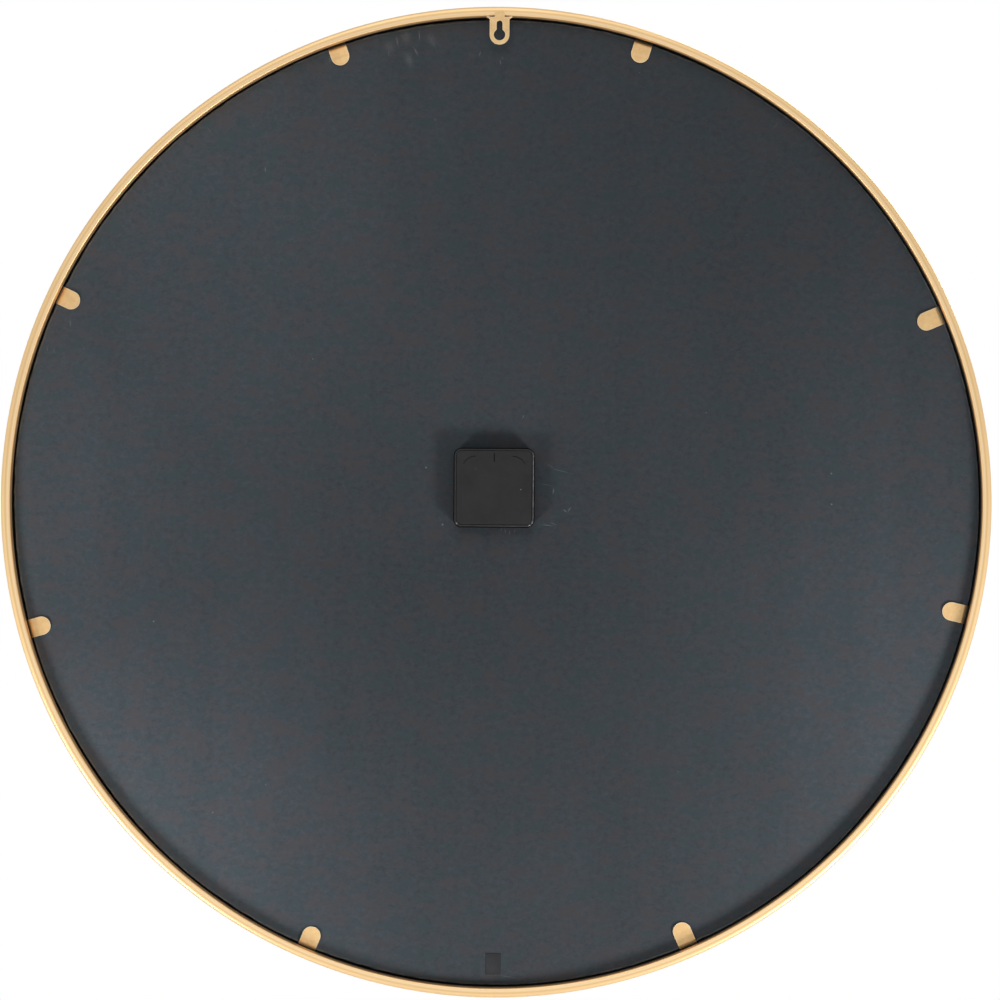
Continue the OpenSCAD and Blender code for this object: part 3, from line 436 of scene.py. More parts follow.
# Pale strokes on the board, in the same columns
SCUFFS = (
    (13.8, 317.6, -14, 2.2, 0.45, 0.55),
    (-0.8, 311.8, 6, 2.6, 0.5, 0.60),
    (-2.2, 314.6, 62, 1.3, 0.5, 0.45),
    (46.7, 324.0, 40, 3.2, 0.6, 0.35),
    (120.0, 313.5, 2, 4.0, 0.8, 0.30),
    (72.4, 326.0, 10, 4.4, 1.1, 0.42),
    (56.8, 330.3, 3, 4.6, 0.6, 0.52),
    (59.2, 319.0, 28, 4.2, 0.9, 0.46),
    (64.0, 313.0, 16, 8.0, 4.0, 0.26),
    (66.5, 329.0, -6, 6.0, 5.0, 0.24),
    (78.0, 322.0, 20, 7.0, 5.0, 0.20),
    (48.0, 327.0, 35, 6.0, 4.0, 0.22),
    (78.5, 317.5, 12, 3.4, 0.6, 0.34),
    (-40.4, 8.1, -8, 2.7, 0.5, 0.75),
    (-48.7, -5.8, 52, 1.8, 0.5, 0.75),
    (-51.9, -4.8, -32, 2.2, 0.5, 0.80),
    (-45.5, 22.5, 76, 9.0, 0.4, 0.35),
    (-35.2, 12.6, 82, 5.0, 0.35, 0.35),
    (-38.0, 26.0, 60, 6.0, 0.5, 0.25),
    (49.9, 24.1, 0, 0.8, 0.8, 0.95),
    (-36.2, -16.1, 84, 4.6, 0.5, 0.50),
    (-40.5, -15.0, 68, 2.6, 0.45, 0.45),
    (-6.5, -20.6, 8, 2.2, 0.5, 0.35),
    (-9.6, -21.6, -6, 2.0, 0.45, 0.35),
    (-13.0, -20.2, 4, 1.8, 0.4, 0.30),
    (-3.6, -19.6, 3, 1.2, 0.4, 0.35),
    (38.0, -16.1, -30, 0.9, 0.75, 0.95),
    (-18.6, 60.6, -25, 1.8, 0.45, 0.60),
    (2.3, -325.6, 4, 3.8, 0.4, 0.30),
    (-10.4, -336.0, 80, 7.0, 0.35, 0.30),
    (-318.0, 143.0, 20, 2.8, 0.5, 0.35),
    (318.0, -92.0, -15, 2.4, 0.5, 0.35),
    (302.6, 124.6, 5, 4.0, 0.8, 0.42),
    (318.6, 106.0, 10, 2.4, 0.5, 0.40),
    (314.0, 105.0, 15, 2.0, 0.5, 0.30),
    (205.0, 262.0, 35, 4.0, 0.5, 0.25),
    (-196.0, 268.0, -40, 3.2, 0.45, 0.25),
)

# Pale marks on the cover, painted glints at its lower corners and pale chips and specks, in the same columns
GLINTS_AND_CHIPS = (
    (28.0, -15.2, 0, 0.8, 0.7, 1.0),
    (-23.6, -16.4, 0, 0.8, 0.9, 1.0),
    (-25.3, -14.6, 0, 1.4, 0.4, 0.7),
    (-17.3, 9.0, 0, 0.45, 0.45, 0.8),
)


def make_charcoal_board(finish):
    """Charcoal board: fine fibre, faint upright bands, mottling, painted pools of light, lint, scuffs and a
    pale edge, partly worn and partly a painted highlight.
    """
    look = Finish("charcoal_board_worn", roughness=0.5, specular=0.2)
    place = look.place
    fibre = look.streaks(place, (210.0, 210.0, 260.0), detail=5.0, rough=0.8)
    bands = look.streaks(place, (34.0, 34.0, 1.6), detail=3.0, rough=0.55)
    slow = look.clouds(place, 7.0, detail=4.0, rough=0.5)
    tone = look.weighted((fibre, 0.64), (bands, 0.16), (slow, 0.2))
    colour = look.blend(look.remap(tone, 0.34, 0.66), shade(finish.board, 0.70), shade(finish.board, 1.34))
    mottle = look.streaks(place, (62.0, 62.0, 110.0), detail=5.0, rough=0.72)
    warm, cool = shade(finish.board, 1.26, 1.0, 0.93), shade(finish.board, 0.86, 1.04, 0.99)
    colour = look.blend(look.remap(mottle, 0.49, 0.64, 0.0, 0.9), colour, warm)
    colour = look.blend(look.remap(mottle, 0.49, 0.34, 0.0, 0.9), colour, cool)
    # Painted light: the board is brightened in broad pools where the lamps would light it
    painted_light_gain = look.plus(look.times(look.strongest(PAINTED_LIGHT_POOLS), 0.95), 1.0)
    colour = look.add("VectorMath", {0: colour, "Scale": painted_light_gain}, operation="SCALE").outputs[0]
    pale = (0.27, 0.28, 0.285, 1)
    specks = look.dust(scale=46.0, share=0.22, size=0.045)
    motes = look.dust(scale=130.0, share=0.10, size=0.05)
    leaning = look.stretched(place, (1.0, 1.0, 0.22), (0, 0.5, 0))
    hairs = look.dust(scale=52.0, share=0.05, size=0.035, place=leaning)
    lint = look.larger(specks, look.larger(motes, hairs))
    colour = look.blend(look.times(lint, 0.55), colour, pale)
    broken = look.streaks(place, (1400.0, 1400.0, 500.0), detail=3.0, rough=0.7)
    strokes = look.times(look.strongest(SCUFFS), look.remap(broken, 0.30, 0.52, 0.2, 1.0))
    colour = look.blend(look.times(strokes, 0.95), colour, pale)
    chips = look.streaks(look.ring()["Place"], (46.0, 700.0, 700.0), detail=4.0, rough=0.7)
    # The pale edge is partly worn bare fibre and partly a painted highlight where the edge would catch the
    # light
    bare = look.add("Attribute", attribute_name="worn_highlit_edge").outputs["Fac"]
    worn_highlit = look.times(bare, look.remap(chips, 0.40, 0.64, 0.12, 1.0))
    colour = look.blend(worn_highlit, colour, tuple(finish.worn_highlit_edge))
    look.bump(look.plus(look.times(fibre, 0.7), look.grain(1500.0)["Height"]), 0.04 * MM, strength=0.6)
    return look.done(colour, look.remap(tone, 0.3, 0.7, 0.62, 0.48))


def make_plastic(name, colour, roughness, grain_scale, bump, edge_colour=None, dusty=0.0, specular=0.4):
    """Plain plastic, rubber or tape with grain, cloudy gloss, rubbed edges and some dust."""
    look = Finish(name, roughness=roughness, specular=specular)
    grain = look.grain(grain_scale)
    tone = look.blend(look.remap(grain["Cloud"], 0.35, 0.65), shade(colour, 0.86), shade(colour, 1.14))
    if edge_colour:
        tone = look.rubbed(tone, 0.3 * MM, 0.6, edge_colour)
    if dusty:
        dust = look.dust(scale=210.0, share=0.10, size=0.08)
        tone = look.blend(look.times(dust, dusty), tone, (0.32, 0.32, 0.31, 1))
    look.bump(grain["Height"], bump, strength=0.7)
    return look.done(tone, look.remap(grain["Cloud"], 0.3, 0.7, roughness + 0.07, roughness - 0.07))


def make_cover_plastic(finish):
    """Grained black plastic, with a painted highlight along its outer rim, painted shade in its grooves and
    painted glints at its lower corners.
    """
    width, height, middle = face("back_cover")
    half_width, half_height = width / 2, height / 2
    look = Finish("cover_plastic_grained", roughness=0.6, specular=0.2)
    grain = look.grain(1900.0)
    colour = look.blend(
        look.remap(grain["Cloud"], 0.35, 0.65), shade(finish.cover, 0.88), shade(finish.cover, 1.12))
    side, back, high = look.split(look.place)
    across = look.minus(side, middle[0])
    up = look.minus(high, middle[1] + DIAL_HEIGHT)
    from_middle = look.size_of(across)
    # Distance in from the cover's rounded outline
    past_side = look.larger(look.minus(from_middle, half_width - CASE_CORNER), 0.0)
    past_end = look.larger(look.minus(look.size_of(up), half_height - CASE_CORNER), 0.0)
    inset = look.minus(CASE_CORNER, look.reach(past_side, past_end))
    # Painted highlight along the rim, broken in places, and strongest along one upright side
    broken = look.clouds(look.place, 420.0, detail=3.0, rough=0.7)
    near_rim = look.remap(inset, 0.25 * MM, 0.85 * MM, 1.0, 0.0)
    rim = look.times(near_rim, look.remap(broken, 0.34, 0.60, 0.15, 1.0))
    rim = look.times(rim, look.remap(across, half_width, -half_width, 0.12, 0.9))
    upright = look.remap(from_middle, half_width - 1.4 * MM, half_width - 0.5 * MM, 0.22, 1.0)
    colour = look.blend(look.times(rim, upright), colour, (0.30, 0.30, 0.305, 1))
    # Painted shade: the grooves, arcs and slit are painted near-black below the face
    below = look.remap(back, -COVER_REAR - 0.08 * MM, -COVER_REAR - 0.3 * MM)
    groove_shade = look.times(below, look.calc("GREATER_THAN", inset, 0.95 * MM))
    colour = look.blend(groove_shade, colour, (0.006, 0.006, 0.006, 1))
    dust = look.dust(scale=210.0, share=0.08, size=0.08)
    # The pale marks are painted glints at the lower corners, with chips, specks and dust
    marks = look.larger(look.strongest(GLINTS_AND_CHIPS), look.times(dust, 0.4))
    colour = look.blend(marks, colour, (0.45, 0.45, 0.45, 1))
    look.bump(grain["Height"], 0.10 * MM, strength=0.7)
    return look.done(colour, look.remap(grain["Cloud"], 0.3, 0.7, 0.68, 0.52))


def make_metal(name, colour, roughness, stretch, edge_colour):
    """Bare metal with drawn lines in one direction and slightly brighter edges."""
    look = Finish(name, metallic=1.0, roughness=roughness)
    drawn = look.streaks(look.place, stretch, detail=3.0, rough=0.6)
    dark, light = shade(colour, 0.80), shade(colour, 1.08)
    tone = look.blend(look.remap(drawn, 0.3, 0.7), dark, light)
    tone = look.blend(look.remap(look.grain(1500.0)["Cloud"], 0.5, 0.75, 0.0, 0.4), tone, dark)
    tone = look.rubbed(tone, 0.25 * MM, 0.6, edge_colour)
    look.bump(drawn, 0.015 * MM, strength=0.5)
    return look.done(tone, look.remap(drawn, 0.3, 0.7, roughness + 0.08, roughness - 0.08))


def make_clear_glass():
    """Float glass, a little green in its depth, with a few smears on its face."""
    look = Finish("clear_glass_float", roughness=0.0)
    look.shader.inputs["Transmission Weight"].default_value = 1.0
    look.shader.inputs["IOR"].default_value = 1.52
    smear = look.streaks(look.place, (18.0, 18.0, 7.0), detail=5.0, rough=0.6)
    tint = look.blend(look.remap(smear, 0.4, 0.7), (0.975, 0.992, 0.985, 1), (0.95, 0.985, 0.97, 1))
    return look.done(tint, look.remap(smear, 0.55, 0.8, 0.0, 0.05))


def make_mirror_silver(finish):
    """Silver towards the glass, and dull cloudy paint on the back."""
    look = Finish("mirror_silver_backed", specular=0.2)
    _, facing, _ = look.split(look.add("TexCoord").outputs["Normal"])
    silver = look.remap(facing, 0.3, -0.3)
    cloud = look.grain(700.0)["Cloud"]
    dark, light = shade(finish.mirror_paint, 0.85), shade(finish.mirror_paint, 1.15)
    paint = look.blend(look.remap(cloud, 0.35, 0.65), dark, light)
    shine = look.blend(
        look.remap(cloud, 0.6, 0.8, 0.0, 0.3), (0.93, 0.935, 0.93, 1), (0.90, 0.91, 0.905, 1))
    look.feed("Metallic", silver)
    return look.done(look.blend(silver, paint, shine), look.blend_values(silver, 0.6, 0.015))


def make_copper_wire():
    """Enamelled wire, turn beside turn along the coil, with painted shade in the grooves between turns."""
    look = Finish("copper_wire_turns", metallic=0.75, roughness=0.3)
    turns = look.add("TexWave", {
        "Vector": look.place, "Scale": 900.0, "Distortion": 0.6, "Detail": 1.0}, bands_direction="Z")
    turn = turns.outputs["Fac"]
    look.bump(turn, 0.1 * MM, strength=0.9)
    # Painted shade: the wire is darker in the grooves between turns
    colour = look.blend(turn, (0.20, 0.07, 0.03, 1), (0.68, 0.30, 0.13, 1))
    return look.done(colour, look.remap(turn, 0.0, 1.0, 0.5, 0.26))


def make_green_circuit():
    """Lacquered circuit board with faint tracks under the lacquer."""
    look = Finish("green_circuit_lacquer", roughness=0.32, specular=0.5)
    cells = look.add("TexBrick", {
        "Vector": look.stretched(look.place, (420.0, 420.0, 420.0), (math.radians(90), 0, 0)), "Scale": 1.0,
        "Color1": (0.03, 0.17, 0.07, 1), "Color2": (0.045, 0.21, 0.09, 1), "Mortar": (0.09, 0.30, 0.13, 1),
        "Mortar Size": 0.06})
    cloud = look.grain(1600.0)["Cloud"]
    colour = look.blend(look.remap(cloud, 0.4, 0.7, 0.0, 0.4), cells.outputs[0], (0.03, 0.14, 0.06, 1))
    look.bump(cells.outputs[1], 0.04 * MM, strength=0.5)
    return look.done(colour, look.remap(cloud, 0.3, 0.7, 0.40, 0.26))


def make_battery_wrap():
    """Plain grey foil sleeve with one dark band and bare metal ends."""
    low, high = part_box("battery_cell")
    look = Finish("battery_wrap_foil", roughness=0.34)
    along, _, _ = look.split(look.place)
    share = look.remap(along, low.x, high.x)
    band = look.times(look.calc("GREATER_THAN", share, 0.70), look.calc("LESS_THAN", share, 0.95))
    bare = look.larger(look.calc("GREATER_THAN", along, high.x - 1.45 * MM),
                       look.calc("LESS_THAN", along, low.x + (high.x - low.x) * 0.012))
    scratch = look.streaks(look.place, (60.0, 1200.0, 1200.0), detail=3.0, rough=0.6)
    colour = look.blend(look.remap(scratch, 0.35, 0.7), (0.33, 0.34, 0.36, 1), (0.48, 0.49, 0.51, 1))
    colour = look.blend(band, colour, (0.05, 0.055, 0.065, 1))
    colour = look.blend(bare, colour, (0.72, 0.72, 0.73, 1))
    look.feed("Metallic", look.blend_values(bare, 0.25, 1.0))
    return look.done(colour, look.remap(scratch, 0.3, 0.7, 0.42, 0.28))


def make_materials(finish):
    up_and_down, along_axis = (900.0, 900.0, 60.0), (1300.0, 60.0, 1300.0)
    every_way = (1500.0, 1500.0, 1500.0)
    # Plastics have a name, colour, roughness, grain to the metre, bump and colour of rubbed edges,
    # and metals have a name, colour, roughness, direction of the drawn lines and colour of rubbed edges
    MATERIALS.update({
        "gold_paint": make_gold_paint(finish),
        "gold_tab": make_gold_tab(finish),
        "clear_glass": make_clear_glass(),
        "mirror_silver": make_mirror_silver(finish),
        "charcoal_board": make_charcoal_board(finish),
        "black_tape": make_plastic(
            "black_tape_cloth", (0.040, 0.041, 0.044), 0.75, 2400.0, 0.06 * MM, dusty=0.35, specular=0.15),
        "gold_hand": make_metal(
            "gold_hand_brushed", (0.83, 0.64, 0.36), 0.30, (1100.0, 1100.0, 40.0), (0.98, 0.84, 0.58, 1)),
        "bare_brass": make_metal(
            "bare_brass_turned", (0.80, 0.60, 0.28), 0.26, along_axis, (0.95, 0.78, 0.45, 1)),
        "black_rubber": make_plastic("black_rubber_matt", (0.022, 0.022, 0.023), 0.8, 2200.0, 0.08 * MM),
        "black_plastic": make_plastic(
            "black_plastic_moulded", (0.028, 0.028, 0.029), 0.5, 2400.0, 0.05 * MM, (0.12, 0.12, 0.12, 1),
            dusty=0.25),
        "cover_plastic": make_cover_plastic(finish),
        "grey_plastic": make_plastic(
            "grey_plastic_moulded", (0.20, 0.20, 0.21), 0.5, 2200.0, 0.05 * MM, (0.34, 0.34, 0.35, 1)),
        "white_plastic": make_plastic(
            "white_plastic_moulded", (0.80, 0.79, 0.74), 0.4, 2000.0, 0.03 * MM, (0.92, 0.91, 0.88, 1)),
        "bare_steel": make_metal(
            "bare_steel_drawn", (0.60, 0.60, 0.61), 0.30, up_and_down, (0.82, 0.82, 0.83, 1)),
        "grey_magnet": make_metal(
            "grey_magnet_sintered", (0.19, 0.19, 0.20), 0.5, every_way, (0.40, 0.40, 0.41, 1)),
        "copper_wire": make_copper_wire(),
        "green_circuit": make_green_circuit(),
        "battery_wrap": make_battery_wrap(),
    })


# Small helpers for meshes, drawn face up about the dial axis and then hung

def move(bm, verts, offset):
    bmesh.ops.translate(bm, verts=verts, vec=offset)


def once(things):
    """Each thing once, in the order of its first mention, so that every run is the same."""
    return list(dict.fromkeys(things))


def edges_among(corners):
    inside = set(corners)
    return once(e for v in corners for e in v.link_edges if e.verts[0] in inside and e.verts[1] in inside)


def add_loop(bm, radius, depth, segments):
    """A closed round loop about the dial axis, at a depth from the wall plane: its corners and its edges."""
    place = Matrix.Translation((0, 0, depth))
    corners = bmesh.ops.create_circle(bm, segments=segments, radius=radius, matrix=place)["verts"]
    return corners, edges_among(corners)


def add_rounded_loop(bm, width, height, corner, depth, middle, segments=40):
    """A closed loop with round corners, made from a circle whose quarters are moved apart."""
    turn = Matrix.Translation((0, 0, depth)) @ Matrix.Rotation(math.pi / segments, 4, "Z")
    corners = bmesh.ops.create_circle(bm, segments=segments, radius=corner, matrix=turn)["verts"]
    for v in corners:
        v.co.x += math.copysign(width / 2 - corner, v.co.x) + middle[0]
        v.co.y += math.copysign(height / 2 - corner, v.co.y) + middle[1]
    return corners, edges_among(corners)


def arc(middle, radius, start, end, steps):
    """Points along an arc, with its angles in degrees."""
    angles = [math.radians(start + (end - start) * step / steps) for step in range(steps + 1)]
    return [(middle[0] + radius * math.cos(a), middle[1] + radius * math.sin(a)) for a in angles]


def add_outline(bm, points, depth):
    """A closed outline of edges through points at one depth."""
    corners = [bm.verts.new((x, y, depth)) for x, y in points]
    return [bm.edges.new(pair) for pair in zip(corners, corners[1:] + corners[:1])]


def bridge_in_turn(bm, loops):
    for first, second in zip(loops, loops[1:]):
        bmesh.ops.bridge_loops(bm, edges=first[1] + second[1])


def spin_round(bm, axis, steps):
    """Turns everything drawn so far once round an axis through the origin."""
    bmesh.ops.spin(bm, geom=bm.verts[:] + bm.edges[:], cent=(0, 0, 0), axis=axis, angle=2 * math.pi,
                   steps=steps, use_merge=True)


def add_ball(bm, place, stretch, size, seed):
    """A small lump with an uneven skin."""
    ball = bmesh.ops.create_icosphere(bm, subdivisions=3, radius=size)["verts"]
    for v in ball:
        v.co *= 1 + 0.18 * noise.noise(v.co / size * 1.3 + Vector((seed, 0, 0)))
        v.co = Vector((v.co.x * stretch[0], v.co.y * stretch[1], v.co.z * stretch[2])) + Vector(place)


def add_object(name, data):
    made = bpy.data.objects.new(name, data)
    bpy.context.scene.collection.objects.link(made)
    return made


def finish_piece(bm, name, slot, body, replaced=(), sharp=35, placed=HUNG):
    """Closes a drawn mesh, hangs it, gives it its finish and lets it ride on its body."""
    bmesh.ops.remove_doubles(bm, verts=bm.verts, dist=1e-7)
    bmesh.ops.transform(bm, matrix=placed, verts=bm.verts)
    bmesh.ops.recalc_face_normals(bm, faces=bm.faces)
    mesh = bpy.data.meshes.new(name)
    bm.to_mesh(mesh)
    bm.free()
    mesh.shade_smooth()
    mesh.set_sharp_from_angle(angle=math.radians(sharp))
    piece = add_object(name, mesh)
    mesh.materials.append(MATERIALS[slot])
    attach(piece, body)
    if replaced:
        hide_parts(*replaced)
    return piece


def dress_node(node):
    """Puts the detailed finish of its slot on a CAD node."""
    piece = frame["nodes"][node]
    for slot in piece.material_slots:
        slot.material = MATERIALS[SLOT_OF_NODE[node]]
    return piece


def thicken(piece, thickness, even=False):
    """Gives a drawn sheet its thickness, half to each side."""
    wall = piece.modifiers.new("Sheet thickness", "SOLIDIFY")
    wall.thickness = thickness
    wall.offset = 0
    wall.use_even_offset = even


def round_edges(piece, width, segments, angle):
    """Rounds every edge that turns by more than an angle in degrees."""
    bevel = piece.modifiers.new("Soft edges", "BEVEL")
    bevel.width = width
    bevel.segments = segments
    bevel.limit_method = "ANGLE"
    bevel.angle_limit = math.radians(angle)
    bevel.harden_normals = True


def soften_node(node, width, segments=2):
    """Dresses a CAD node and rounds its edges, after its loose triangles are merged."""
    piece = dress_node(node)
    weld = piece.modifiers.new("Merged corners", "WELD")
    weld.merge_threshold = 0.002 * MM
    round_edges(piece, width, segments, angle=40)


# Operators, one for each piece or group of like pieces

class CLOCK_OT_finishes(bpy.types.Operator):
    """Build the shared effects and every finish of the clock"""
    bl_idname = "clock.finishes"
    bl_label = "Finishes"

    def execute(self, context):
        make_effects()
        make_materials(context.scene.clock_finish)
        return {"FINISHED"}


class CLOCK_OT_ring(bpy.types.Operator):
    """Roll the flat-oval tube into a ring, with its dressed closing weld at the bottom"""
    bl_idname = "clock.ring"
    bl_label = "Ring"

    def execute(self, context):
        shape = context.scene.clock_shape
        half = shape.ring_width / 2
        straight = (RING_FRONT - RING_REAR) / 2 - half
        middle_radius = shape.ring_radius - half
        sides = 40
        inner_squareness, outer_squareness = 3.6, 2.9
        bm = bmesh.new()
        turn = Matrix.Rotation(math.radians(90), 4, "X") @ Matrix.Rotation(math.pi / sides, 4, "Z")
        section = bmesh.ops.create_circle(bm, segments=sides, radius=half, matrix=turn)["verts"]
        for v in section:
            out, painted_shade_gold = v.co.x / half, v.co.z / half
            power = 2 / (outer_squareness if out > 0 else inner_squareness)
            v.co.x = math.copysign(abs(out) ** power, out) * half
            v.co.z = math.copysign(abs(painted_shade_gold) ** power * half + straight, painted_shade_gold)
        move(bm, section, (middle_radius, 0, (RING_REAR + RING_FRONT) / 2))
        spin_round(bm, (0, 0, 1), steps=720)
        self.dress_weld(bm, middle_radius, half)
        finish_piece(bm, "gold_ring", "gold_paint", "frame", ("ring_tube",), sharp=60)
        soften_node("front_lip", 0.25 * MM)
        return {"FINISHED"}

    def dress_weld(self, bm, middle_radius, half):
        """Grinds a shallow hollow into the outside of the ring, where its ends meet."""
        weld_half, hollow_depth = 1.6 * MM, 0.10 * MM
        weld_place = math.radians(-94.5)
        for v in bm.verts:
            along = (math.atan2(v.co.y, v.co.x) - weld_place) * middle_radius
            if abs(along) < 3 * weld_half:
                hollow = hollow_depth * math.exp(-(along / weld_half) ** 2)
                radius = math.hypot(v.co.x, v.co.y)
                outward = max(-1.0, min(1.0, (radius - middle_radius) / half))
                factor = 1 - hollow * (1 + outward) / 2 / radius
                v.co.x *= factor
                v.co.y *= factor


class CLOCK_OT_board(bpy.types.Operator):
    """Cut the backing board with its wandering, ragged edge and the close hole for the movement"""
    bl_idname = "clock.board"
    bl_label = "Backing board"

    # Inset and depth below the rear face in mm, with None for the front face, shares of wave and rag, and
    # wear with painted highlight
    rows = ((4.0, 0.0, 0.0, 0.0, 0.0), (1.9, 0.0, 1.0, 0.2, 0.0), (1.0, 0.02, 1.0, 0.6, 0.75),
            (0.45, 0.15, 1.0, 1.0, 1.0), (0.1, 0.5, 1.0, 1.0, 0.85), (0.0, 1.2, 1.0, 0.6, 0.25),
            (0.0, 4.0, 1.0, 0.2, 0.0), (0.0, None, 0.5, 0.0, 0.0))

    def execute(self, context):
        shape = context.scene.clock_shape
        bm = bmesh.new()
        outer = self.add_edge(bm, shape)
        hole = self.add_hole(bm, shape)
        bmesh.ops.triangle_fill(bm, use_beauty=True, edges=outer[0][1] + hole[0][1])
        bmesh.ops.triangle_fill(bm, use_beauty=True, edges=outer[-1][1] + hole[-1][1])
        finish_piece(bm, "charcoal_backing_board", "charcoal_board", "frame", ("backing_board",), sharp=50)
        return {"FINISHED"}

    def add_edge(self, bm, shape):
        """The sawn edge, which wanders and is chipped but never reaches the ring."""
        worn_highlit = bm.verts.layers.float.new("worn_highlit_edge")
        limit = 341.95 * MM
        outer = []
        for inset, below, wave, rag, wear in self.rows:
            depth = BOARD_FRONT if below is None else BOARD_REAR + below * MM
            corners, edges = add_loop(bm, shape.board_radius - inset * MM, depth, segments=900)
            for v in corners:
                radius = math.hypot(v.co.x, v.co.y)
                way = Vector((v.co.x / radius, v.co.y / radius, 0))
                slow = noise.noise(way * 2.6 + Vector((0, 0, 4.2))) + 0.5 * noise.noise(way * 6.5)
                fast = noise.noise(way * 38) + 0.7 * noise.noise(way * 95 + Vector((0, 0, 2)))
                v.co += way * (wave * slow * shape.edge_wave + rag * fast * shape.edge_rag)
                v.co.x += wave * shape.board_drift
                reach = math.hypot(v.co.x, v.co.y)
                if reach > limit:
                    v.co.x *= limit / reach
                    v.co.y *= limit / reach
                v[worn_highlit] = wear
            outer.append((corners, edges))
        bridge_in_turn(bm, outer)
        return outer

    def add_hole(self, bm, shape):
        """The opening round the movement, with a rounded rear edge."""
        width, height, middle = face("movement_case")
        steps = []
        for turn in (0, 30, 60, 90):
            angle = math.radians(turn)
            steps.append((shape.hole_fit + shape.hole_edge * (1 - math.sin(angle)),
                          BOARD_REAR + shape.hole_edge * (1 - math.cos(angle))))
        steps.append((shape.hole_fit, BOARD_FRONT))
        hole = [add_rounded_loop(bm, width + 2 * gap, height + 2 * gap, CASE_CORNER + gap, depth, middle)
                for gap, depth in steps]
        bridge_in_turn(bm, hole)
        return hole


class CLOCK_OT_tape(bpy.types.Operator):
    """Lay the small dark strip of tape near the bottom of the board"""
    bl_idname = "clock.tape"
    bl_label = "Tape strip"

    def execute(self, context):
        width, height, middle = face("tape_patch")
        _, front = depths("tape_patch")
        bm = bmesh.new()
        sheet = bmesh.ops.create_grid(bm, x_segments=22, y_segments=30, size=0.5)["verts"]
        for v in sheet:
            across, up = v.co.x, v.co.y
            ragged = 0.02 * noise.noise(Vector((up * 9, 1, 3))) * abs(across) * 2
            v.co.x = middle[0] + (across + ragged) * width * 0.97
            v.co.y = middle[1] + up * height * 0.99
            lift = 0.5 + 0.5 * noise.noise(Vector((across * 3, up * 3, 7)))
            v.co.z = front - (0.1 + 0.06 * lift) * MM
        piece = finish_piece(bm, "tape_strip", "black_tape", "frame", ("tape_patch",), sharp=60)
        thicken(piece, 0.07 * MM)
        return {"FINISHED"}


class CLOCK_OT_tabs(bpy.types.Operator):
    """Bend the eight retaining tabs over the board's edge"""
    bl_idname = "clock.tabs"
    bl_label = "Retaining tabs"

    # Direction of each tab clockwise from the top as seen from the front, and its reach in mm
    tabs = ((-17.4, 15.9), (-66.8, 19.0), (-103.1, 18.0), (-156.2, 18.2), (157.3, 15.8), (105.6, 15.8),
            (65.0, 16.1), (19.7, 14.9))
    bend = 3.4 * MM
    leg = 5 * MM
    fold = bend * math.pi / 2
    crease_lift = 0.3 * MM
    tip_lift = 0.6 * MM

    def execute(self, context):
        shape = context.scene.clock_shape
        wall = shape.ring_radius - shape.ring_width
        half = shape.tab_width / 2
        sheet = shape.tab_sheet
        wall_gap = 0.02 * MM
        seat = math.sqrt(wall ** 2 - half ** 2) - wall_gap - sheet / 2
        flat = BOARD_REAR - sheet / 2
        bm = bmesh.new()
        for direction, reach in self.tabs:
            foot = seat - self.bend - (wall - reach * MM)
            crease = self.leg + self.fold + foot * 0.5
            blank = self.cut_blank(bm, half, foot, crease)
            turn = Matrix.Rotation(math.radians(-direction), 3, "Z")
            for v in blank:
                radial, depth = self.bent(v.co.y, seat, flat, foot, crease)
                v.co = turn @ Vector((v.co.x, radial, depth))
        piece = finish_piece(bm, "bent_tabs", "gold_tab", "frame", ("retaining_tabs",), sharp=40)
        thicken(piece, sheet, even=True)
        round_edges(piece, 0.3 * MM, segments=3, angle=50)
        return {"FINISHED"}

    def cut_blank(self, bm, half, foot, crease):
        """A flat strip with one round end, cut across wherever it will be bent: its corners."""
        length = self.leg + self.fold + foot
        blank = bmesh.ops.create_circle(bm, segments=48, radius=half, cap_ends=True)["verts"]
        for v in blank:
            v.co.y = v.co.y + length - half if v.co.y > -1e-9 else 0.0
            if v.co.y == 0.0:
                v.co.x = math.copysign(half, v.co.x) if abs(v.co.x) > half * 0.9 else v.co.x
        fold_cuts = 14
        cuts = [self.leg + self.fold * cut / fold_cuts for cut in range(fold_cuts + 1)]
        for at in cuts + [crease - 0.5 * MM, crease, crease + 0.5 * MM]:
            faces = once(f for v in blank if v.is_valid for f in v.link_faces)
            geom = faces + once(e for f in faces for e in f.edges) + once(v for f in faces for v in f.verts)
            made = bmesh.ops.bisect_plane(bm, geom=geom, dist=1e-8, plane_co=(0, at, 0), plane_no=(0, 1, 0))
            blank = once(blank + [g for g in made["geom"] if isinstance(g, bmesh.types.BMVert)])
        return [v for v in blank if v.is_valid]

    def bent(self, along, seat, flat, foot, crease):
        """Distance from the dial axis and depth of a point along the strip, once it is bent."""
        past_fold = along - self.leg - self.fold
        if along < self.leg:
            return seat, flat + self.bend + (self.leg - along)
        if along < self.leg + self.fold:
            angle = (along - self.leg) / self.bend
            radial = seat - self.bend + self.bend * math.cos(angle)
            return radial, flat + self.bend - self.bend * math.sin(angle)
        bow = past_fold * (crease - along) / (crease - self.leg - self.fold) ** 2 * 4
        depth = flat - self.crease_lift * min(1.0, max(0.0, bow)) - self.tip_lift * past_fold / foot
        return seat - self.bend - past_fold, depth


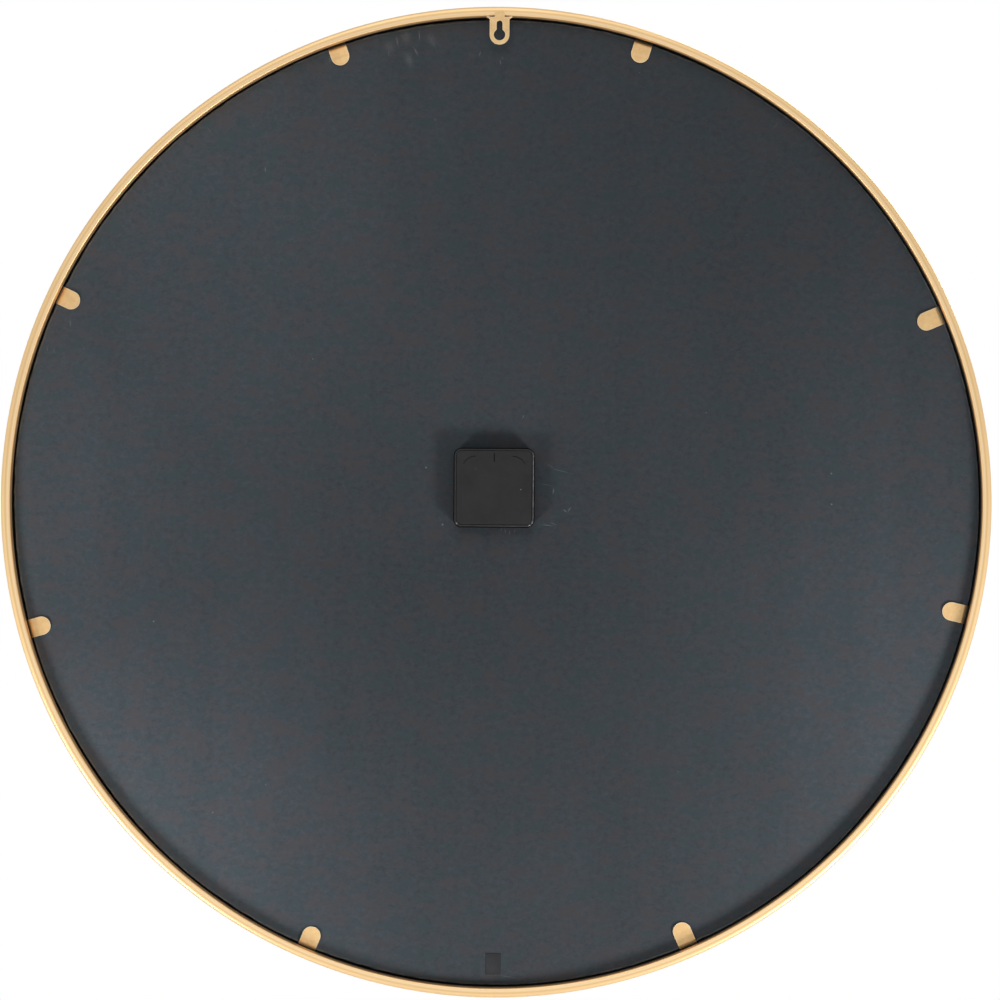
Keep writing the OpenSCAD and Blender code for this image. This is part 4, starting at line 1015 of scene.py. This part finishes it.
class CLOCK_OT_hanger(bpy.types.Operator):
    """Cut the keyhole plate and add the lumpy welds at its shoulders and its neck"""
    bl_idname = "clock.hanger"
    bl_label = "Keyhole hanger"

    def execute(self, context):
        shape = context.scene.clock_shape
        wall = shape.ring_radius - shape.ring_width
        neck_top = wall + 3.5 * MM
        self.cut_plate(wall, neck_top)
        self.add_welds(wall, neck_top)
        return {"FINISHED"}

    def cut_plate(self, wall, neck_top):
        rear, front = depths("keyhole_hanger")
        middle = (rear + front) / 2
        hang = -DIAL_HEIGHT
        half, hole, slot_half, neck_half = 7 * MM, 4 * MM, 2 * MM, 3.5 * MM
        shoulder, slot_top = wall - 0.4 * MM, hang + 8 * MM
        slot_start = math.degrees(math.acos(slot_half / hole))
        outside = arc((0, hang), half, 0, -180, 36) + [
            (-half, shoulder), (-neck_half, shoulder), (-neck_half, neck_top), (neck_half, neck_top),
            (neck_half, shoulder), (half, shoulder)]
        keyhole = arc((0, hang), hole, 180 - slot_start, 360 + slot_start, 40)
        keyhole += arc((0, slot_top), slot_half, 0, 180, 20)
        bm = bmesh.new()
        edges = add_outline(bm, outside, middle) + add_outline(bm, keyhole, middle)
        bmesh.ops.triangle_fill(bm, use_beauty=True, edges=edges)
        plate = finish_piece(bm, "hanger_plate", "gold_tab", "frame", ("keyhole_hanger",), sharp=40)
        thicken(plate, front - rear)
        round_edges(plate, 0.3 * MM, segments=3, angle=50)

    def add_welds(self, wall, neck_top):
        # Lumps at each shoulder: across, down from the ring's wall and size in mm
        lumps = ((7.3, 0.7, 0.95), (8.3, 0.35, 0.75), (7.1, 1.5, 0.6))
        bm = bmesh.new()
        for side in (-1, 1):
            for number, (across, down, size) in enumerate(lumps):
                place = (side * across * MM, wall - down * MM, 1.5 * MM)
                add_ball(bm, place, (1.2, 0.85, 1.0), size * MM, side * 5 + number)
        for number, across in enumerate((-2.2, 0.1, 2.3)):
            add_ball(bm, (across * MM, neck_top - 0.1 * MM, 1.1 * MM), (1.5, 0.9, 0.7), 0.9 * MM, number)
        finish_piece(bm, "hanger_welds", "gold_tab", "frame", sharp=80)


class CLOCK_OT_cover(bpy.types.Operator):
    """Mould the movement's rear cover with its rounded rim, parting groove, corner arcs and slit"""
    bl_idname = "clock.cover"
    bl_label = "Rear cover"

    cut_depth = 0.5 * MM
    side_wall = 0.8 * MM
    face_thickness = 1.3 * MM

    def execute(self, context):
        size = face("back_cover")
        cutter = self.draw_cutter(*size)
        cover = self.draw_shell(context.scene.clock_shape.cover_edge, *size)
        cut = cover.modifiers.new("Arcs and slit", "BOOLEAN")
        cut.object = cutter
        cut.solver = "EXACT"
        cut.operation = "DIFFERENCE"
        context.view_layer.update()
        finished = bpy.data.meshes.new_from_object(cover.evaluated_get(context.evaluated_depsgraph_get()))
        cover.modifiers.clear()
        cover.data = finished
        finished.name = "rear_cover"
        finished.shade_smooth()
        finished.set_sharp_from_angle(angle=math.radians(30))
        bpy.data.objects.remove(cutter)
        return {"FINISHED"}

    def draw_shell(self, edge, width, height, middle):
        """The shell from its inside, round its rim and over the parting groove to its face."""
        bm = bmesh.new()

        def loop(inset, depth):
            return add_rounded_loop(
                bm, width - 2 * inset, height - 2 * inset, CASE_CORNER - inset, depth, middle)

        inside = COVER_REAR + self.face_thickness
        loops = [loop(self.side_wall, inside), loop(self.side_wall, COVER_FRONT), loop(0.0, COVER_FRONT)]
        for step in range(6):
            turn = math.radians(18 * step)
            loops.append(loop(edge * (1 - math.cos(turn)), COVER_REAR + edge * (1 - math.sin(turn))))
        groove = 1.2 * MM
        plate = groove + 0.3 * MM
        soft = 0.12 * MM
        for inset, below in ((groove - soft, 0.0), (groove, soft), (groove, self.cut_depth),
                             (plate, self.cut_depth), (plate, soft), (plate + soft, 0.0)):
            loops.append(loop(inset, COVER_REAR + below))
        bridge_in_turn(bm, loops)
        bmesh.ops.edgeloop_fill(bm, edges=loops[0][1])
        bmesh.ops.edgeloop_fill(bm, edges=loops[-1][1])
        return finish_piece(bm, "rear_cover", "cover_plastic", "cover", ("back_cover",), sharp=30)

    def draw_cutter(self, width, height, middle):
        """What is cut out of the face: two corner arcs and a slit."""
        bm = bmesh.new()
        for side in (-1, 1):
            self.add_arc(bm, side, width, height, middle)
        slit = bmesh.ops.create_cube(bm, size=1.0)["verts"]
        slit_width, slit_length, slit_inset = 0.9 * MM, 5.8 * MM, 3.3 * MM
        bmesh.ops.scale(bm, vec=(slit_width, slit_length, 2 * self.cut_depth), verts=slit)
        move(bm, slit, (middle[0], middle[1] + height / 2 - slit_inset - slit_length / 2, COVER_REAR))
        return finish_piece(bm, "cover_cutter", "cover_plastic", "cover", sharp=30)

    def add_arc(self, bm, side, width, height, middle):
        radius, thick, inset = 10 * MM, 0.55 * MM, 5 * MM
        start, sweep = math.radians(26), math.radians(64)
        centre = Vector((middle[0] + side * (width / 2 - inset - radius),
                         middle[1] + height / 2 - inset - radius, COVER_REAR))
        section = bmesh.ops.create_grid(bm, x_segments=1, y_segments=1, size=0.5)["verts"]
        bmesh.ops.scale(bm, vec=(thick, 2 * self.cut_depth, 1), verts=section)
        bmesh.ops.rotate(bm, cent=(0, 0, 0), matrix=Matrix.Rotation(math.radians(90), 3, "X"), verts=section)
        move(bm, section, (side * (radius - thick / 2), 0, 0))
        bmesh.ops.rotate(bm, cent=(0, 0, 0), matrix=Matrix.Rotation(side * start, 3, "Z"), verts=section)
        move(bm, section, centre)
        faces = once(f for v in section for f in v.link_faces)
        edges = once(e for v in section for e in v.link_edges)
        bmesh.ops.spin(bm, geom=faces + edges + section, cent=centre, axis=(0, 0, side), angle=sweep,
                       steps=16, use_merge=False)


class CLOCK_OT_dial(bpy.types.Operator):
    """Finish the mirror, the hour markers, the hands and what holds them"""
    bl_idname = "clock.dial"
    bl_label = "Mirror and hands"

    def execute(self, context):
        self.lay_silver()
        for node in ("mirror_glass", "hour_hand_bush", "minute_hand_bush", "hand_cap_nut", "threaded_bush",
                     "rubber_gasket"):
            dress_node(node)
        soften_node("hour_markers", 0.3 * MM, 3)
        soften_node("hour_hand", 0.25 * MM, 3)
        soften_node("minute_hand", 0.25 * MM, 3)
        soften_node("dial_nut", 0.25 * MM)
        soften_node("dial_washer", 0.1 * MM)
        return {"FINISHED"}

    def lay_silver(self):
        """A flat ring of silver and paint that stops just short of the glass and of the coat's edge."""
        rear, front = depths("mirror_coat")
        radius = face("mirror_coat")[0] / 2 - 0.1 * MM
        hole = 4.6 * MM
        behind_glass = 0.03 * MM
        bm = bmesh.new()
        loops = [add_loop(bm, out, depth, segments=360) for out, depth in (
            (hole, rear), (radius, rear), (radius, front - behind_glass), (hole, front - behind_glass))]
        bridge_in_turn(bm, loops + loops[:1])
        finish_piece(bm, "silver_layer", "mirror_silver", "frame", ("mirror_coat",), sharp=30)


class CLOCK_OT_movement(bpy.types.Operator):
    """Finish the movement's case and everything inside it, and turn the battery with its rims"""
    bl_idname = "clock.movement"
    bl_label = "Movement"

    def execute(self, context):
        for node in ("movement_case", "train_bridge", "bridge_screws", "hour_wheel", "motion_wheel",
                     "minute_tube", "clutch_washer", "centre_wheel", "third_wheel", "seconds_wheel",
                     "seconds_arbor", "step_wheel", "rotor_pinion", "rotor_magnet", "stator_plate",
                     "coil_core", "coil_bobbin", "coil_winding", "circuit_board", "quartz_crystal",
                     "contact_positive", "contact_negative", "setting_knob"):
            dress_node(node)
        soften_node("control_chip", 0.15 * MM)
        self.turn_battery()
        return {"FINISHED"}

    def turn_battery(self):
        low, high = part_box("battery_cell")
        length, radius = (high.x - low.x) / MM, (high.z - low.z) / 2 / MM
        # Along the cell from its flat end, and out from its axis, in mm
        profile = (
            (0.5, 0.0), (0.5, 4.6), (0.0, 4.9), (0.0, radius - 0.75), (0.25, radius - 0.35), (0.6, radius),
            (length - 1.9, radius), (length - 1.5, radius - 0.4), (length - 1.35, radius - 1.2),
            (length - 1.35, 2.9), (length - 1.2, 2.6), (length - 0.3, 2.6), (length, 2.25), (length, 0.0))
        bm = bmesh.new()
        corners = [bm.verts.new((along * MM, out * MM, 0)) for along, out in profile]
        for first, second in zip(corners, corners[1:]):
            bm.edges.new((first, second))
        spin_round(bm, (1, 0, 0), steps=72)
        placed = Matrix.Translation((low.x, (low.y + high.y) / 2, (low.z + high.z) / 2))
        finish_piece(bm, "battery_can", "battery_wrap", "frame", ("battery_cell",), placed=placed)


class CLOCK_OT_stage(bpy.types.Operator):
    """Set up the camera at the photograph's place, soft lamps, the white room and the pale floor"""
    bl_idname = "clock.stage"
    bl_label = "Stage"

    def execute(self, context):
        context.scene.view_settings.view_transform = "Standard"
        stage = context.scene.clock_stage
        self.add_camera(context.scene, stage)
        self.add_lamps(stage)
        self.add_room(context.scene, stage)
        self.add_floor(stage)
        return {"FINISHED"}

    def add_camera(self, scene, stage):
        data = bpy.data.cameras.new("photo_camera")
        camera = add_object("photo_camera", data)
        # The photograph's width, the ring's radius in it, and how far the ring lies off its middle, in pixels
        picture = 1000
        ring_pixels = 495.25
        ring_left, ring_down = 3.72, 2.16
        pixel = scene.clock_shape.ring_radius / ring_pixels
        data.sensor_width = 36
        data.lens = stage.camera_distance / pixel / picture * data.sensor_width
        data.clip_end = 50
        widest = RING_REAR + scene.clock_shape.ring_width / 2
        centre = Vector((0, -widest, DIAL_HEIGHT))
        camera.location = centre + Vector((0, stage.camera_distance, 0))
        aim = centre + Vector((-ring_left * pixel, 0, ring_down * pixel))
        look = (aim - camera.location).to_track_quat("-Z", "Y")
        camera.rotation_mode = "QUATERNION"
        camera.rotation_quaternion = look @ Quaternion((0, 0, 1), stage.camera_roll)
        scene.camera = camera

    def add_lamps(self, stage):
        centre = Vector((0, 0, DIAL_HEIGHT))
        # Name, place seen from the dial's middle in metres, size, power
        lamps = (("lamp_low_left", (0.64, 0.45, -0.58), 0.27, stage.left_power),
                 ("lamp_low_right", (-0.62, 0.40, -0.60), 0.23, stage.right_power),
                 ("lamp_top", (0.13, 1.30, 1.25), 1.5, stage.top_power),
                 ("lamp_front", (-0.93, -1.40, 1.03), 1.4, stage.front_power))
        for name, place, size, power in lamps:
            data = bpy.data.lights.new(name, "AREA")
            data.shape = "DISK"
            data.size = size
            data.energy = power
            lamp = add_object(name, data)
            lamp.visible_camera = False
            lamp.location = centre + Vector(place)
            lamp.rotation_mode = "QUATERNION"
            lamp.rotation_quaternion = (-Vector(place)).to_track_quat("-Z", "Y")

    def add_room(self, scene, stage):
        """White to the camera, here and there a little greyer in reflections, and dim as a light."""
        world = bpy.data.worlds.new("white_room")
        scene.world = world
        world.use_nodes = True
        room = NodeMaker(world.node_tree)
        room.tree.nodes.clear()
        path = room.add("LightPath").outputs
        _, way, _ = room.split(room.add("TexCoord").outputs["Generated"])
        behind, ahead = room.remap(way, 0.88, 1.0, 1.0, 0.72), room.remap(way, -1.0, -0.4, 0.6, 1.0)
        mirrored = room.calc("MINIMUM", behind, ahead)
        seen = room.larger(path["Is Glossy Ray"], path["Is Transmission Ray"])
        strength = room.blend_values(seen, stage.room_light, mirrored)
        strength = room.blend_values(path["Is Camera Ray"], strength, 1.0)
        light = room.add("Background", {"Color": (1, 1, 1, 1), "Strength": strength})
        room.add("OutputWorld", {0: light.outputs[0]})

    def add_floor(self, stage):
        """A pale round floor that fades out before its edge."""
        radius, fade_start, fade_end = 1.6, 0.5, 1.55
        bm = bmesh.new()
        bmesh.ops.create_circle(bm, segments=128, radius=radius, cap_ends=True)
        move(bm, bm.verts[:], (0, 0, RING_LOW.z - stage.floor_drop))
        mesh = bpy.data.meshes.new("pale_floor")
        bm.to_mesh(mesh)
        bm.free()
        floor = add_object("pale_floor", mesh)
        look = Finish("pale_floor_matt", roughness=0.7, specular=0.2)
        cloud = look.grain(120.0)["Cloud"]
        look.feed("Base Color", look.blend(cloud, (0.86, 0.86, 0.855, 1), (0.90, 0.90, 0.895, 1)))
        look.shader.inputs["Emission Color"].default_value = (1, 1, 1, 1)
        path = look.add("LightPath").outputs
        mirrored = look.larger(path["Is Glossy Ray"], path["Is Transmission Ray"])
        seen = look.larger(path["Is Camera Ray"], mirrored)
        look.feed("Emission Strength", look.times(seen, 0.45))
        flat = look.stretched(look.place, (1.0, 1.0, 0.0))
        far = look.add("VectorMath", {0: flat}, operation="LENGTH").outputs["Value"]
        clear = look.add("BsdfTransparent").outputs[0]
        fade = look.remap(far, fade_start, fade_end)
        faded = look.add("MixShader", {0: fade, 1: look.shader.outputs[0], 2: clear})
        look.tree.links.new(faded.outputs[0], look.end.inputs[0])
        mesh.materials.append(look.material)


class CLOCK_PT_panel(bpy.types.Panel):
    bl_label = "Mirror clock"
    bl_idname = "CLOCK_PT_panel"
    bl_space_type = "VIEW_3D"
    bl_region_type = "UI"
    bl_category = "Clock"

    def draw(self, context):
        for settings in (context.scene.clock_shape, context.scene.clock_finish, context.scene.clock_stage):
            box = self.layout.box()
            for name in settings.bl_rna.properties.keys():
                if name not in ("rna_type", "name"):
                    box.prop(settings, name)
        for operator in OPERATORS:
            self.layout.operator(operator.bl_idname)


SETTINGS = {
    "clock_shape": ClockShapeSettings,
    "clock_finish": ClockFinishSettings,
    "clock_stage": ClockStageSettings,
}
OPERATORS = (CLOCK_OT_finishes, CLOCK_OT_ring, CLOCK_OT_board, CLOCK_OT_tape, CLOCK_OT_tabs, CLOCK_OT_hanger,
             CLOCK_OT_cover, CLOCK_OT_dial, CLOCK_OT_movement, CLOCK_OT_stage)


def register():
    for cls in (*SETTINGS.values(), *OPERATORS, CLOCK_PT_panel):
        bpy.utils.register_class(cls)
    for name, cls in SETTINGS.items():
        setattr(bpy.types.Scene, name, bpy.props.PointerProperty(type=cls))


def unregister():
    for name in SETTINGS:
        delattr(bpy.types.Scene, name)
    for cls in (CLOCK_PT_panel, *reversed(OPERATORS), *SETTINGS.values()):
        bpy.utils.unregister_class(cls)


def main():
    register()
    bpy.ops.clock.finishes()
    bpy.ops.clock.ring()
    bpy.ops.clock.board()
    bpy.ops.clock.tape()
    bpy.ops.clock.tabs()
    bpy.ops.clock.hanger()
    bpy.ops.clock.cover()
    bpy.ops.clock.dial()
    bpy.ops.clock.movement()
    bpy.ops.clock.stage()


if __name__ == "__main__":
    main()
